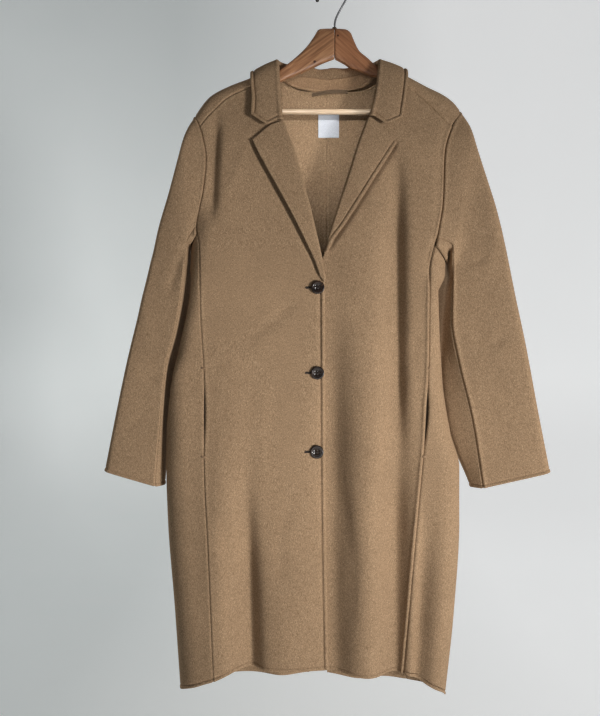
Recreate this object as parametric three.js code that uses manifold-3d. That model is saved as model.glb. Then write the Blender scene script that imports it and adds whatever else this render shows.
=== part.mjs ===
// A single-breasted camel wool overcoat on a wooden suit hanger.
//
// Millimetres. +Z is up, the coat faces -Y, and +X is the wearer's left. The origin is the inside top
// of the hanger's hook, where the hanger is held. "Right" and "left" are the wearer's: right is -X.
//
// Every cloth piece is a wall of even thickness on a curved middle surface. One function gives the
// surface of the body, and the panels are stretches of it between seams. Lapels, collar, label and
// loop are made from the panels' own surfaces, moved out. The sleeves are lofted from section tables.

import * as THREE from "three";
import { mergeVertices } from "three/addons/utils/BufferGeometryUtils.js";
import Module from "manifold-3d";

const wasm = await Module();
wasm.setup();

// ---------------------------------------------------------------- driving sizes

const WALL = 2.4; // double-faced wool
const THIN_WALL = 1.0; // pocket bag, label and loop
const SEAM_GAP = 0.4; // between neighbouring pieces
const UNDERLAP = 4.4; // how far the left front lies behind the right one at the centre

const HANGER_PLANE_Y = 0; // the shoulder ridges lie on the hanger
const EDGE_Y = -8; // depth of the body's side edges
const SHOULDER_ROUND = 26; // height of the rounding over the shoulders
const ARMHOLE_DROP = 26; // how far the underarm curve dips below the side seams' tops
const CENTRE_BACK_X = -7;

const RIGHT = -1;
const LEFT = 1;

// Level sections of the body. Edges are the outermost x on each side, front and back are the y of
// the two faces, and round is the width of the turn from face to edge, in front and behind.
const BODY = [
  { z: -160, right: -262, left: 245, front: -20, back: 17, round: 60, backRound: 60 },
  { z: -250, right: -262, left: 245, front: -27, back: 22, round: 60, backRound: 60 },
  { z: -340, right: -246, left: 222, front: -38, back: 27, round: 52, backRound: 60 },
  { z: -440, right: -250, left: 216, front: -44, back: 27, round: 46, backRound: 60 },
  { z: -520, right: -253, left: 203, front: -47, back: 25, round: 34, backRound: 60 },
  { z: -590, right: -261, left: 201, front: -47, back: 23, round: 32, backRound: 60 },
  { z: -645, right: -272, left: 197, front: -47, back: 22, round: 32, backRound: 60 },
  { z: -681, right: -278, left: 195, front: -47, back: 22, round: 32, backRound: 60 },
  { z: -730, right: -294.5, left: 197, front: -47, back: 22, round: 35, backRound: 60 },
  { z: -830, right: -296.5, left: 212, front: -47, back: 22, round: 38, backRound: 56 },
  { z: -890, right: -297, left: 228, front: -47, back: 22, round: 40, backRound: 52 },
  { z: -990, right: -294, left: 228, front: -48, back: 23, round: 42, backRound: 50 },
  { z: -1140, right: -282, left: 219, front: -49, back: 25, round: 42, backRound: 50 },
  { z: -1310, right: -270, left: 201, front: -50, back: 28, round: 40, backRound: 50 },
];

// The top line of each shoulder, and how far below it the forward shoulder seam runs.
const SHOULDER = {
  [RIGHT]: [
    { x: 104, z: -171, seam: 1 },
    { x: 128, z: -181, seam: 19 },
    { x: 147, z: -190, seam: 22 },
    { x: 185, z: -205, seam: 27 },
    { x: 218, z: -223, seam: 40 },
    { x: 239, z: -248, seam: 42 },
    { x: 250, z: -268, seam: 40 },
  ],
  [LEFT]: [
    { x: 92, z: -167, seam: 1 },
    { x: 118, z: -178, seam: 23 },
    { x: 136, z: -187, seam: 27 },
    { x: 169, z: -205, seam: 38 },
    { x: 204, z: -223, seam: 56 },
    { x: 222, z: -238, seam: 52 },
    { x: 235, z: -260, seam: 48 },
  ],
};

// Outer edge of each front: the armhole, then the side-front seam. slit is half the width of the
// pocket's opening in that seam.
const FRONT_OUTER = {
  [RIGHT]: [
    { z: -262, x: -245, slit: 0 },
    { z: -300, x: -231, slit: 0 },
    { z: -345, x: -224, slit: 0 },
    { z: -400, x: -229, slit: 0 },
    { z: -461, x: -240, slit: 0 },
    { z: -500, x: -234, slit: 0 },
    { z: -614, x: -232, slit: 0 },
    { z: -716, x: -226, slit: 0 },
    { z: -790, x: -224, slit: 1.8 },
    { z: -866, x: -225, slit: 0 },
    { z: -1032, x: -217, slit: 0 },
    { z: -1300, x: -205, slit: 0 },
  ],
  [LEFT]: [
    { z: -256, x: 229, slit: 0 },
    { z: -283, x: 213, slit: 0 },
    { z: -336, x: 198, slit: 0 },
    { z: -419, x: 194, slit: 0 },
    { z: -482, x: 183, slit: 0 },
    { z: -543, x: 170, slit: 0 },
    { z: -693, x: 168, slit: 0 },
    { z: -722, x: 167, slit: 0 },
    { z: -790, x: 165, slit: 2.6 },
    { z: -878, x: 157, slit: 0 },
    { z: -1032, x: 143, slit: 0 },
    { z: -1300, x: 121, slit: 0 },
  ],
};

// Inner edge of each front: the neckline down to the gorge, the roll line, then the front edge.
const FRONT_INNER = {
  [RIGHT]: [
    { z: -172, x: -104 },
    { z: -195, x: -103 },
    { z: -215, x: -101 },
    { z: -245, x: -95 },
    { z: -278, x: -90 },
    { z: -328, x: -73 },
    { z: -386, x: -57 },
    { z: -438, x: -43 },
    { z: -487, x: -31 },
    { z: -529, x: -21 },
    { z: -570, x: -15 },
    { z: -909, x: -14 },
    { z: -1290, x: -8 },
  ],
  [LEFT]: [
    { z: -168, x: 92 },
    { z: -190, x: 91 },
    { z: -212, x: 89 },
    { z: -240, x: 81 },
    { z: -271, x: 67 },
    { z: -316, x: 50 },
    { z: -361, x: 36.5 },
    { z: -452, x: 6 },
    { z: -525, x: -19 },
    { z: -565, x: -42 },
    { z: -620, x: -50 },
    { z: -909, x: -50 },
    { z: -1290, x: -46 },
  ],
};

// Outer edge of each half back: the armhole behind, then the seam with the side panel.
const BACK_OUTER = {
  [RIGHT]: [
    { z: -262, x: -245 },
    { z: -300, x: -233 },
    { z: -360, x: -222 },
    { z: -430, x: -224 },
    { z: -500, x: -212 },
    { z: -745, x: -232 },
    { z: -990, x: -230 },
    { z: -1310, x: -206 },
  ],
  [LEFT]: [
    { z: -256, x: 229 },
    { z: -300, x: 210 },
    { z: -360, x: 196 },
    { z: -430, x: 186 },
    { z: -520, x: 160 },
    { z: -745, x: 150 },
    { z: -990, x: 166 },
    { z: -1310, x: 142 },
  ],
};

const UNDERARM = { [RIGHT]: -476, [LEFT]: -500 }; // height of the side seams' tops
const BACK_NECK = [
  { x: 0, z: -206 },
  { x: 50, z: -204 },
  { x: 80, z: -193 },
  { x: 100, z: -176 },
];

// The hem's height round each side: 0 is the centre front, 1 the side edge, 2 the centre back.
const HEM = {
  [RIGHT]: [
    { round: -0.3, z: -1241 },
    { round: 0.35, z: -1239 },
    { round: 0.55, z: -1240 },
    { round: 0.72, z: -1256 },
    { round: 0.85, z: -1272 },
    { round: 1, z: -1287 },
    { round: 1.3, z: -1284 },
    { round: 2, z: -1276 },
  ],
  [LEFT]: [
    { round: -0.3, z: -1240 },
    { round: 0.25, z: -1247 },
    { round: 0.52, z: -1250 },
    { round: 0.7, z: -1266 },
    { round: 0.85, z: -1282 },
    { round: 1, z: -1300 },
    { round: 1.3, z: -1296 },
    { round: 2, z: -1280 },
  ],
};

// Soft folds. push is outward at the deepest, so a trough is negative. A fold runs from (topX, top)
// to (footX, foot), grows over its first "swell" and is wide towards -X and +X as named.
const FRONT_FOLDS = [
  { topX: -205, top: -250, footX: -213, foot: -470, push: -11, swell: 60, toRight: 16, toLeft: 9, fade: 60 },
  { topX: -181, top: -640, footX: -192, foot: -1400, push: 16, swell: 400, toRight: 46, toLeft: 40, fade: 0 },
  { topX: -157, top: -830, footX: -136, foot: -1400, push: -25, swell: 260, toRight: 34, toLeft: 17, fade: 0 },
  { topX: -84, top: -900, footX: -78, foot: -1400, push: 8, swell: 300, toRight: 40, toLeft: 46, fade: 0 },
  { topX: 0, top: -560, footX: 6, foot: -1400, push: -11, swell: 300, toRight: 30, toLeft: 22, fade: 0 },
  { topX: 60, top: -420, footX: 64, foot: -1400, push: 16, swell: 500, toRight: 44, toLeft: 44, fade: 0 },
  { topX: 114, top: -290, footX: 117, foot: -900, push: -20, swell: 200, toRight: 26, toLeft: 11, fade: 160 },
  { topX: 112, top: -760, footX: 108, foot: -1400, push: -26, swell: 240, toRight: 30, toLeft: 22, fade: 0 },
  { topX: 165, top: -900, footX: 141, foot: -1400, push: -16, swell: 260, toRight: 10, toLeft: 20, fade: 0 },
];

const BACK_FOLDS = [
  { topX: -150, top: -520, footX: -165, foot: -1400, push: 10, swell: 500, toRight: 40, toLeft: 46, fade: 0 },
  { topX: -84, top: -640, footX: -92, foot: -1400, push: -13, swell: 420, toRight: 30, toLeft: 36, fade: 0 },
  { topX: 40, top: -600, footX: 48, foot: -1400, push: -12, swell: 460, toRight: 34, toLeft: 28, fade: 0 },
  { topX: 104, top: -540, footX: 110, foot: -1400, push: 10, swell: 480, toRight: 34, toLeft: 40, fade: 0 },
];

// Lapels, from the gorge down to the break: the roll line, the outer edge, and the roll's radius.
const LAPEL = {
  [RIGHT]: [
    { rollZ: -279, edgeX: -140, edgeZ: -313, roll: 3.6 },
    { rollZ: -328, edgeX: -127, edgeZ: -340, roll: 4.2 },
    { rollZ: -386, edgeX: -96, edgeZ: -397, roll: 4.4 },
    { rollZ: -438, edgeX: -67, edgeZ: -451, roll: 4.2 },
    { rollZ: -487, edgeX: -47, edgeZ: -492, roll: 3.6 },
    { rollZ: -529, edgeX: -30, edgeZ: -528, roll: 2.6 },
    { rollZ: -562, edgeX: -22, edgeZ: -552, roll: 1.9 },
  ],
  [LEFT]: [
    { rollZ: -272, edgeX: 110, edgeZ: -319, roll: 3.6 },
    { rollZ: -316, edgeX: 100, edgeZ: -335, roll: 4.2 },
    { rollZ: -361, edgeX: 74, edgeZ: -376, roll: 4.4 },
    { rollZ: -405, edgeX: 46, edgeZ: -421, roll: 4.2 },
    { rollZ: -452, edgeX: 19, edgeZ: -463, roll: 3.4 },
    { rollZ: -488, edgeX: -1, edgeZ: -490, roll: 2.4 },
    { rollZ: -510, edgeX: -9, edgeZ: -508, roll: 1.9 },
  ],
};

// Stations of the collar, from its front end round to the centre back: the fold line, the outer
// edge of the fall and the neck seam, each as x, y, z.
const COLLAR = {
  [RIGHT]: [
    { turn: 0, fold: [-90, -40, -276], edge: [-143, -40, -267], neck: [-89, -32, -273] },
    { turn: 0.25, fold: [-94, -34, -224], edge: [-142, -36, -236], neck: [-94, -25, -233] },
    { turn: 0.4, fold: [-96, -26, -182], edge: [-144, -32, -206], neck: [-99, -19, -190] },
    { turn: 0.46, fold: [-97, -15, -163], edge: [-145, -21, -188.5], neck: [-100, -11, -170] },
    { turn: 0.5, fold: [-97, -5, -158], edge: [-145, -8, -181.5], neck: [-100, -2, -167] },
    { turn: 0.56, fold: [-93, 6, -156], edge: [-143, 9, -183], neck: [-98, 7, -170] },
    { turn: 0.65, fold: [-80, 16, -156], edge: [-130, 26, -199], neck: [-88, 14, -183] },
    { turn: 0.75, fold: [-62, 21, -157], edge: [-106, 32, -213], neck: [-68, 16, -194] },
    { turn: 1, fold: [-6, 27, -161], edge: [-7, 32, -232], neck: [-7, 20, -205.2] },
  ],
  [LEFT]: [
    { turn: 0, fold: [67, -40, -269], edge: [122, -40, -272], neck: [66, -32, -266] },
    { turn: 0.25, fold: [79, -34, -216], edge: [128, -36, -236], neck: [79, -25, -228] },
    { turn: 0.4, fold: [83, -26, -180], edge: [132, -32, -204], neck: [86, -19, -188] },
    { turn: 0.46, fold: [84, -15, -162], edge: [134, -21, -186], neck: [88, -11, -167] },
    { turn: 0.5, fold: [84, -5, -158], edge: [134, -8, -176.5], neck: [88, -2, -163.5] },
    { turn: 0.56, fold: [80, 6, -156], edge: [131, 9, -178], neck: [86, 7, -167] },
    { turn: 0.65, fold: [68, 16, -156], edge: [118, 26, -193.5], neck: [76, 14, -181] },
    { turn: 0.75, fold: [50, 21, -157], edge: [94, 32, -211], neck: [57, 16, -194] },
    { turn: 1, fold: [-6, 27, -161], edge: [-7, 32, -232], neck: [-7, 20, -205.2] },
  ],
};
const COLLAR_INNER_SHARE = 0.42; // of the stand's height that the fall reaches down inside
const STAND_GAP = 2.4; // where the stand meets the fall at an angle
const STAND_REACH = 0.62; // of the way to the collar's front ends
const COLLAR_ROLL = 4; // radius of the collar's fold

// Sleeve sections from below the shoulder to the cuff: the outer edge, the ridge where the front
// face turns in, the innermost edge, how far the back layer reaches in past it, and the middle and
// half depth.
const SLEEVE = {
  [RIGHT]: [
    { outX: -268, outZ: -314, ridgeX: -258, inX: -257, inZ: -499, tuck: 0, midY: -5, depth: 33 },
    { outX: -290, outZ: -396, ridgeX: -259.5, inX: -258.5, inZ: -523, tuck: 5, midY: -7, depth: 30.8 },
    { outX: -310, outZ: -463, ridgeX: -262, inX: -261, inZ: -550, tuck: 9, midY: -8, depth: 29 },
    { outX: -325, outZ: -532, ridgeX: -266.5, inX: -266, inZ: -590, tuck: 12, midY: -8, depth: 27.5 },
    { outX: -345, outZ: -610, ridgeX: -276.5, inX: -276, inZ: -645, tuck: 14, midY: -7, depth: 25 },
    { outX: -366, outZ: -694, ridgeX: -293, inX: -292.5, inZ: -708, tuck: 15, midY: -6, depth: 24 },
    { outX: -387, outZ: -790, ridgeX: -303, inX: -302.5, inZ: -800, tuck: 14, midY: -5, depth: 22 },
    { outX: -409, outZ: -898, ridgeX: -314, inX: -304, inZ: -924, tuck: 3, midY: -4, depth: 19 },
  ],
  [LEFT]: [
    { outX: 252, outZ: -300, ridgeX: 211, inX: 209, inZ: -506, tuck: 0, midY: -5, depth: 35 },
    { outX: 272, outZ: -370, ridgeX: 212, inX: 210, inZ: -528, tuck: 8, midY: -7, depth: 32 },
    { outX: 291, outZ: -438, ridgeX: 213, inX: 210, inZ: -550, tuck: 14, midY: -8, depth: 29.5 },
    { outX: 306, outZ: -500, ridgeX: 212, inX: 208, inZ: -582, tuck: 18, midY: -9, depth: 27.5 },
    { outX: 323, outZ: -582, ridgeX: 211, inX: 204, inZ: -634, tuck: 18, midY: -9, depth: 26 },
    { outX: 343, outZ: -674, ridgeX: 224, inX: 202, inZ: -706, tuck: 19, midY: -8, depth: 25 },
    { outX: 364, outZ: -782, ridgeX: 249, inX: 212, inZ: -806, tuck: 14, midY: -6, depth: 23 },
    { outX: 388, outZ: -898, ridgeX: 270, inX: 255, inZ: -930, tuck: 0, midY: -4, depth: 19 },
  ],
};

// The outline of every sleeve section. turn runs from the outer edge (0) through the front, the
// innermost edge (1) and the back. out and ridge are the shares of those two edges in a point's
// place, the rest being the innermost edge's, front is its share of the half depth and tuck of the
// row's tuck.
const SLEEVE_OUTLINE = [
  { turn: -0.12, out: 0.97, ridge: 0, front: -0.62, tuck: 0 },
  { turn: 0, out: 1, ridge: 0, front: 0, tuck: 0 },
  { turn: 0.1, out: 0.985, ridge: 0.015, front: 0.55, tuck: 0 },
  { turn: 0.22, out: 0.9, ridge: 0.1, front: 0.93, tuck: 0 },
  { turn: 0.45, out: 0.52, ridge: 0.48, front: 1, tuck: 0 },
  { turn: 0.7, out: 0.05, ridge: 0.95, front: 1, tuck: 0 },
  { turn: 0.78, out: 0.01, ridge: 0.98, front: 0.93, tuck: 0 },
  { turn: 0.86, out: 0, ridge: 0.62, front: 0.62, tuck: 0 },
  { turn: 1, out: 0, ridge: 0, front: 0, tuck: 0.05 },
  { turn: 1.14, out: 0.02, ridge: 0, front: -0.62, tuck: 0.55 },
  { turn: 1.28, out: 0.12, ridge: 0, front: -0.95, tuck: 1 },
  { turn: 1.5, out: 0.45, ridge: 0, front: -1, tuck: 0.45 },
  { turn: 1.74, out: 0.82, ridge: 0, front: -0.93, tuck: 0 },
  { turn: 1.88, out: 0.97, ridge: 0, front: -0.62, tuck: 0 },
  { turn: 2, out: 1, ridge: 0, front: 0, tuck: 0 },
];

// Where the two sleeve panels are sampled, from seam to seam: the front seam is at turn 0.745 and
// the back one at 1.74, which is -0.26.
const SLEEVE_TOP_TURNS = [-0.258, -0.22, -0.12, -0.04, 0.04, 0.14, 0.26, 0.42, 0.56, 0.69, 0.74];
const SLEEVE_UNDER_TURNS = [0.75, 0.75, 0.81, 0.88, 1, 1.12, 1.26, 1.45, 1.62, 1.7, 1.738];
const SLEEVE_ROWS = [0, 0.4, 1, 2, 3, 4, 5, 6, 7, 8];

// Where the sleeves start, measured outward from the armhole's edge.
const HEAD_START = 3;
const RIDGE_START = 9; // where the armhole crosses the shoulder's ridge
const RIDGE_TURN = 0.22; // the turn at which it does
const UNDERARM_OUT = 5.8;
const UNDERARM_TURNS = [0.66, 1.34];

// Shares of the panels' rows and columns, and small steps between layers.
const SEAM_HALF = SEAM_GAP / 2;
const SHOULDER_SEAM_HALF = 0.8; // half the shoulder seam's gap, where two curves meet
const SHOULDER_LEVEL = -240; // near both armholes' tops
const HEM_LEVEL = -1260; // where a column's share of the hem is read
const SHOULDER_SHARE = 0.2; // of the back's upper block that lies in front of the top line
const TURN_SHARE = 0.42; // where the back's upper block has turned fully down
const NECK_EDGE = 4; // the same rows' height along the neckline
const UNDERLAP_END = 46; // the x by which the left front has come level with the right one
const UNDERLAP_WIDTH = 60;
const ROLL_GAP = 1.5; // between a front's edge and its lapel
const ROLL_SHARE = 0.3; // of a lapel's columns that turn over the roll
const LAPEL_EDGE_LIFT = 3.2; // from the front's middle to the lapel's at its edge
const LAPEL_NOTCH = 6;
const COLLAR_NOTCH = 13;
const COLLAR_END = 0.82; // where the collar's notched ends begin
const FALL_INSIDE = 0.25; // of the fall's rows below the fold, inside
const FALL_FOLDED = 0.5; // and to the far side of the fold

const LOWER_ROWS = 9;
const FRONT_COLUMNS = 10;
const SIDE_COLUMNS = 8;
const NECK_COLUMNS = 4;
const UPPER_ROWS = [0, 0.025, 0.07, 0.14, 0.25, 0.4, 0.6, 0.8, 1];
const BACK_UPPER_ROWS = [0, 0.1, 0.2, 0.27, 0.34, 0.42, 0.57, 0.72, 0.86];
const LAPEL_COLUMNS = [0, 0.075, 0.15, 0.225, 0.3, 0.48, 0.65, 0.82, 1];
const LAPEL_ROWS = 10;
const COLLAR_COLUMNS = 22;
const FALL_ROWS = [0, 0.12, 0.25, 0.33, 0.42, 0.5, 0.65, 0.7, 0.85, 1];
const ARMHOLE_FRONT_SHARE = 0.8; // of the half turn that runs down the front's armhole

const BUTTON = {
  radius: 11.75,
  thick: 3.4,
  back: 1, // the chamfer behind
  front: 0.7, // and the one before it
  rim: 2.2,
  slope: 1.2,
  dish: 0.9,
  hole: 1.1,
  spread: 2.3,
  shank: 1.5,
  sunk: 0.5, // the shank's end and the holes' ends inside the disc
  facets: 28,
};
const BUTTONHOLE = { length: 20, width: 1.3, eye: 2.3, cut: 24 };
const BUTTONS = [
  { name: "button_top", x: -26.5, z: -573 },
  { name: "button_middle", x: -27, z: -722 },
  { name: "button_bottom", x: -28, z: -860 },
];
const BUTTON_LIFT = 2.3; // from the front's face to the button's back

const POCKET = {
  top: -716,
  bottom: -866,
  bagTop: -710,
  depth: 80,
  drop: 45,
  showing: 4, // how far the bag reaches into the slit
  inside: { [RIGHT]: 3.5, [LEFT]: 5.6 }, // from the front's middle surface
};

// One hanger arm from the middle out: its top, bottom, middle and thickness.
const HANGER_ARM = {
  [RIGHT]: [
    { x: 4.8, top: -98, bottom: -152, y: 0, thick: 14 },
    { x: -14, top: -98.4, bottom: -159, y: 0, thick: 14 },
    { x: -23, top: -99.5, bottom: -163, y: 0, thick: 14 },
    { x: -33, top: -114, bottom: -168, y: 0, thick: 13.5 },
    { x: -46, top: -132, bottom: -174, y: -0.5, thick: 13.5 },
    { x: -62, top: -148, bottom: -181, y: -1, thick: 13 },
    { x: -93, top: -174, bottom: -196, y: -4.6, thick: 11 },
    { x: -108, top: -183.6, bottom: -204, y: -2, thick: 12 },
    { x: -150, top: -202, bottom: -227, y: -5, thick: 12 },
    { x: -196, top: -224.6, bottom: -259, y: -8, thick: 13 },
    { x: -214, top: -241, bottom: -264, y: -8, thick: 12 },
    { x: -221, top: -248, bottom: -259, y: -8, thick: 8 },
  ],
  [LEFT]: [
    { x: 5.2, top: -98, bottom: -152, y: 0, thick: 14 },
    { x: 24, top: -99.2, bottom: -162, y: 0, thick: 14 },
    { x: 34, top: -105, bottom: -169, y: 0, thick: 14 },
    { x: 40, top: -119, bottom: -171, y: 0, thick: 13.5 },
    { x: 50, top: -139, bottom: -175, y: -0.5, thick: 13.5 },
    { x: 64, top: -151, bottom: -181, y: -1, thick: 13 },
    { x: 84, top: -173, bottom: -189, y: -6, thick: 11 },
    { x: 100, top: -187, bottom: -203, y: -2, thick: 12 },
    { x: 140, top: -204.2, bottom: -226, y: -5, thick: 12 },
    { x: 186, top: -227, bottom: -258, y: -8, thick: 13 },
    { x: 204, top: -240, bottom: -263, y: -8, thick: 12 },
    { x: 211, top: -248, bottom: -258, y: -8, thick: 8 },
  ],
};
const ARM_CHAMFER = 0.28; // of the thickness and of a third of the height, at each corner
const BAR = { z: -251.5, y: -8, radius: 4.7, right: -204, left: 194, facets: 14 };
const HOOK = {
  radius: 30.9,
  wire: 2.2,
  tip: 3.6,
  startTurn: -37,
  endTurn: 212,
  stemX: 5,
  kneeX: 8.5,
  kneeZ: -76,
};

const LABEL = { x: -4.6, top: -243, width: 37.5, height: 45 };
const LOOP = { right: -35, left: 30, rightZ: -211, leftZ: -205, width: 5.5, bow: 4, arch: 1.2 };

const COLOUR = {
  wool: 0xa8886a,
  pocketing: 0x9b9388,
  label: 0xe4e4e2,
  loop: 0x4a3b2a,
  horn: 0x1e1713,
  wood: 0xa06a3c,
  paleWood: 0xd8bf9c,
  chrome: 0xc8c8cc,
};

// ---------------------------------------------------------------- curves through the tables

// A smooth curve through one column of a table, read at another. It never overshoots its rows.
function curve(rows, by, column) {
  const sorted = [...rows].sort((a, b) => a[by] - b[by]);
  const xs = sorted.map((row) => row[by]);
  const ys = sorted.map((row) => row[column]);
  const last = xs.length - 1;
  const slopes = xs.slice(1).map((x, i) => (ys[i + 1] - ys[i]) / (x - xs[i]));
  const tangents = xs.map((x, i) => {
    if (i === 0) return slopes[0];
    if (i === last) return slopes[last - 1];
    const [before, after] = [slopes[i - 1], slopes[i]];
    return before * after <= 0 ? 0 : (2 * before * after) / (before + after);
  });
  return (at) => {
    if (at <= xs[0]) return ys[0];
    if (at >= xs[last]) return ys[last];
    let i = 0;
    while (at > xs[i + 1]) i += 1;
    const span = xs[i + 1] - xs[i];
    const t = (at - xs[i]) / span;
    const rise = t * t * (3 - 2 * t);
    const bend = span * t * (1 - t);
    return ys[i] + (ys[i + 1] - ys[i]) * rise + bend * (tangents[i] * (1 - t) - tangents[i + 1] * t);
  };
}

// One curve for each column of a table.
function curves(rows, by) {
  const columns = Object.keys(rows[0]).filter((name) => name !== by);
  return Object.fromEntries(columns.map((name) => [name, curve(rows, by, name)]));
}

const clamp01 = (value) => Math.min(1, Math.max(0, value));
const smooth = (value) => clamp01(value) ** 2 * (3 - 2 * clamp01(value));
const mix = (a, b, t) => a + (b - a) * t;
const steps = (count) => Array.from({ length: count + 1 }, (_, i) => i / count);

// ---------------------------------------------------------------- the body's surface

const body = curves(BODY, "z");
const bySide = (make) => ({ [RIGHT]: make(RIGHT), [LEFT]: make(LEFT) });
const shoulder = bySide((side) => curves(SHOULDER[side], "x"));
const frontOuter = bySide((side) => curves(FRONT_OUTER[side], "z"));
const frontInner = bySide((side) => curves(FRONT_INNER[side], "z"));
const backOuter = bySide((side) => curves(BACK_OUTER[side], "z"));
const hem = bySide((side) => curves(HEM[side], "round"));
const backNeck = curves(BACK_NECK, "x");

// The sum of the folds' outward pushes at a place on one face.
function foldPush(folds, x, z) {
  return folds.reduce((sum, fold) => {
    const down = (fold.top - z) / (fold.top - fold.foot);
    const away = x - mix(fold.topX, fold.footX, down);
    const width = away < 0 ? fold.toRight : fold.toLeft;
    const start = smooth((fold.top - z) / fold.swell);
    const end = fold.fade === 0 ? 1 : smooth((z - fold.foot) / fold.fade);
    return sum + fold.push * start * end * Math.exp(-((away / width) ** 2));
  }, 0);
}

// How much of its depth a face has reached below the shoulder's top line.
function shoulderDepth(side, x, z) {
  const drop = shoulder[side].z(Math.abs(x)) - z;
  return Math.sqrt(1 - (1 - clamp01(drop / SHOULDER_ROUND)) ** 2);
}

// The widths of a level section: flat part, then the turns in front and behind, along the cloth.
function section(side, z) {
  const edge = Math.abs(side === RIGHT ? body.right(z) : body.left(z));
  const quarter = (width, depth) => (Math.PI / 2) * Math.sqrt((width ** 2 + depth ** 2) / 2);
  const front = { round: body.round(z), depth: EDGE_Y - body.front(z), grow: -1, folds: FRONT_FOLDS };
  const back = { round: body.backRound(z), depth: body.back(z) - EDGE_Y, grow: 1, folds: BACK_FOLDS };
  for (const face of [front, back]) {
    face.flat = edge - face.round;
    face.turn = quarter(face.round, face.depth);
    face.length = face.flat + face.turn;
  }
  return { edge, front, back };
}

// A point of the body's middle surface. round goes from 0 at the centre front, through 1 at the
// side edge, to 2 at the centre back, in even steps of cloth on each face.
function bodyPoint(side, round, z) {
  const { front, back } = section(side, z);
  const face = round <= 1 ? front : back;
  const along = (round <= 1 ? round : 2 - round) * face.length;
  const angle = clamp01((along - face.flat) / face.turn) * (Math.PI / 2);
  const out = Math.min(along, face.flat) + face.round * Math.sin(angle);
  const x = side * out;
  const facing = Math.cos(angle);
  const push = foldPush(face.folds, x, z) * facing ** 2;
  const under = round <= 1 && side === LEFT ? UNDERLAP * smooth((UNDERLAP_END - x) / UNDERLAP_WIDTH) : 0;
  const full = EDGE_Y + face.grow * (face.depth * facing + push) + under;
  return new THREE.Vector3(x, mix(HANGER_PLANE_Y, full, shoulderDepth(side, x, z)), z);
}

// Where on the section a face has a given x.
function roundAt(side, x, z, behind = false) {
  const sections = section(side, z);
  const face = behind ? sections.back : sections.front;
  const out = side * x;
  const angle = Math.asin(clamp01((out - face.flat) / face.round));
  const along = Math.min(out, face.flat) + (angle / (Math.PI / 2)) * face.turn;
  return behind ? 2 - along / face.length : along / face.length;
}

const facePoint = (side, x, z) => bodyPoint(side, roundAt(side, x, z), z);
const backPoint = (side, x, z) => bodyPoint(side, roundAt(side, x, z, true), z);

// ---------------------------------------------------------------- solids

const NUDGE = 1e-3;

// The unit direction that a surface faces, from two short steps across it.
function facing(at, u, v, firstU, lastV) {
  const here = at(u, v);
  const stepU = u > firstU ? here.clone().sub(at(u - NUDGE, v)) : at(u + NUDGE, v).sub(here);
  const stepV = v < lastV ? at(u, v + NUDGE).sub(here) : here.clone().sub(at(u, v - NUDGE));
  return stepU.cross(stepV).normalize();
}

// A closed wall of even thickness on the middle surface at(u, v).
function sheet(at, us, vs, wall = WALL) {
  const positions = [];
  const indices = [];
  const rows = vs.length;
  const layer = us.length * rows;
  for (const offset of [wall / 2, -wall / 2]) {
    for (const u of us) {
      for (const v of vs) {
        const direction = facing(at, u, v, us[0], vs[rows - 1]);
        positions.push(...at(u, v).addScaledVector(direction, offset));
      }
    }
  }
  const outer = (i, j) => i * rows + j;
  const inner = (i, j) => layer + outer(i, j);
  for (let i = 0; i + 1 < us.length; i += 1) {
    for (let j = 0; j + 1 < rows; j += 1) {
      indices.push(outer(i, j), outer(i + 1, j), outer(i + 1, j + 1));
      indices.push(outer(i, j), outer(i + 1, j + 1), outer(i, j + 1));
      indices.push(inner(i, j), inner(i + 1, j + 1), inner(i + 1, j));
      indices.push(inner(i, j), inner(i, j + 1), inner(i + 1, j + 1));
    }
  }
  const rim = (a, b) => {
    indices.push(outer(...b), outer(...a), inner(...a));
    indices.push(outer(...b), inner(...a), inner(...b));
  };
  for (let i = 0; i + 1 < us.length; i += 1) {
    rim([i, 0], [i + 1, 0]);
    rim([i + 1, rows - 1], [i, rows - 1]);
  }
  for (let j = 0; j + 1 < rows; j += 1) {
    rim([us.length - 1, j], [us.length - 1, j + 1]);
    rim([0, j + 1], [0, j]);
  }
  const geometry = new THREE.BufferGeometry();
  geometry.setAttribute("position", new THREE.Float32BufferAttribute(positions, 3));
  geometry.setIndex(indices);
  return geometry;
}

// A closed loft through rings of points, all with the same count, capped flat at both ends.
function loft(rings) {
  const count = rings[0].length;
  const positions = rings.flat().flatMap((point) => point.toArray());
  const indices = [];
  for (let k = 0; k + 1 < rings.length; k += 1) {
    for (let i = 0; i < count; i += 1) {
      const a = k * count + i;
      const b = k * count + ((i + 1) % count);
      indices.push(a, b, b + count, a, b + count, a + count);
    }
  }
  const end = (rings.length - 1) * count;
  for (let i = 1; i + 1 < count; i += 1) {
    indices.push(0, i + 1, i);
    indices.push(end, end + i, end + i + 1);
  }
  const geometry = new THREE.BufferGeometry();
  geometry.setAttribute("position", new THREE.Float32BufferAttribute(positions, 3));
  geometry.setIndex(indices);
  return geometry;
}

function toSolid(geometry) {
  const bare = geometry.clone();
  bare.deleteAttribute("normal");
  bare.deleteAttribute("uv");
  const merged = mergeVertices(bare);
  const vertProperties = new Float32Array(merged.attributes.position.array);
  const triVerts = new Uint32Array(merged.index.array);
  return new wasm.Manifold(new wasm.Mesh({ numProp: 3, vertProperties, triVerts }));
}

function fromSolid(solid) {
  const { vertProperties, triVerts } = solid.getMesh();
  const geometry = new THREE.BufferGeometry();
  geometry.setAttribute("position", new THREE.Float32BufferAttribute(vertProperties, 3));
  geometry.setIndex([...triVerts]);
  return geometry;
}

// ---------------------------------------------------------------- the body's panels

const sideName = { [RIGHT]: "right", [LEFT]: "left" };

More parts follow.
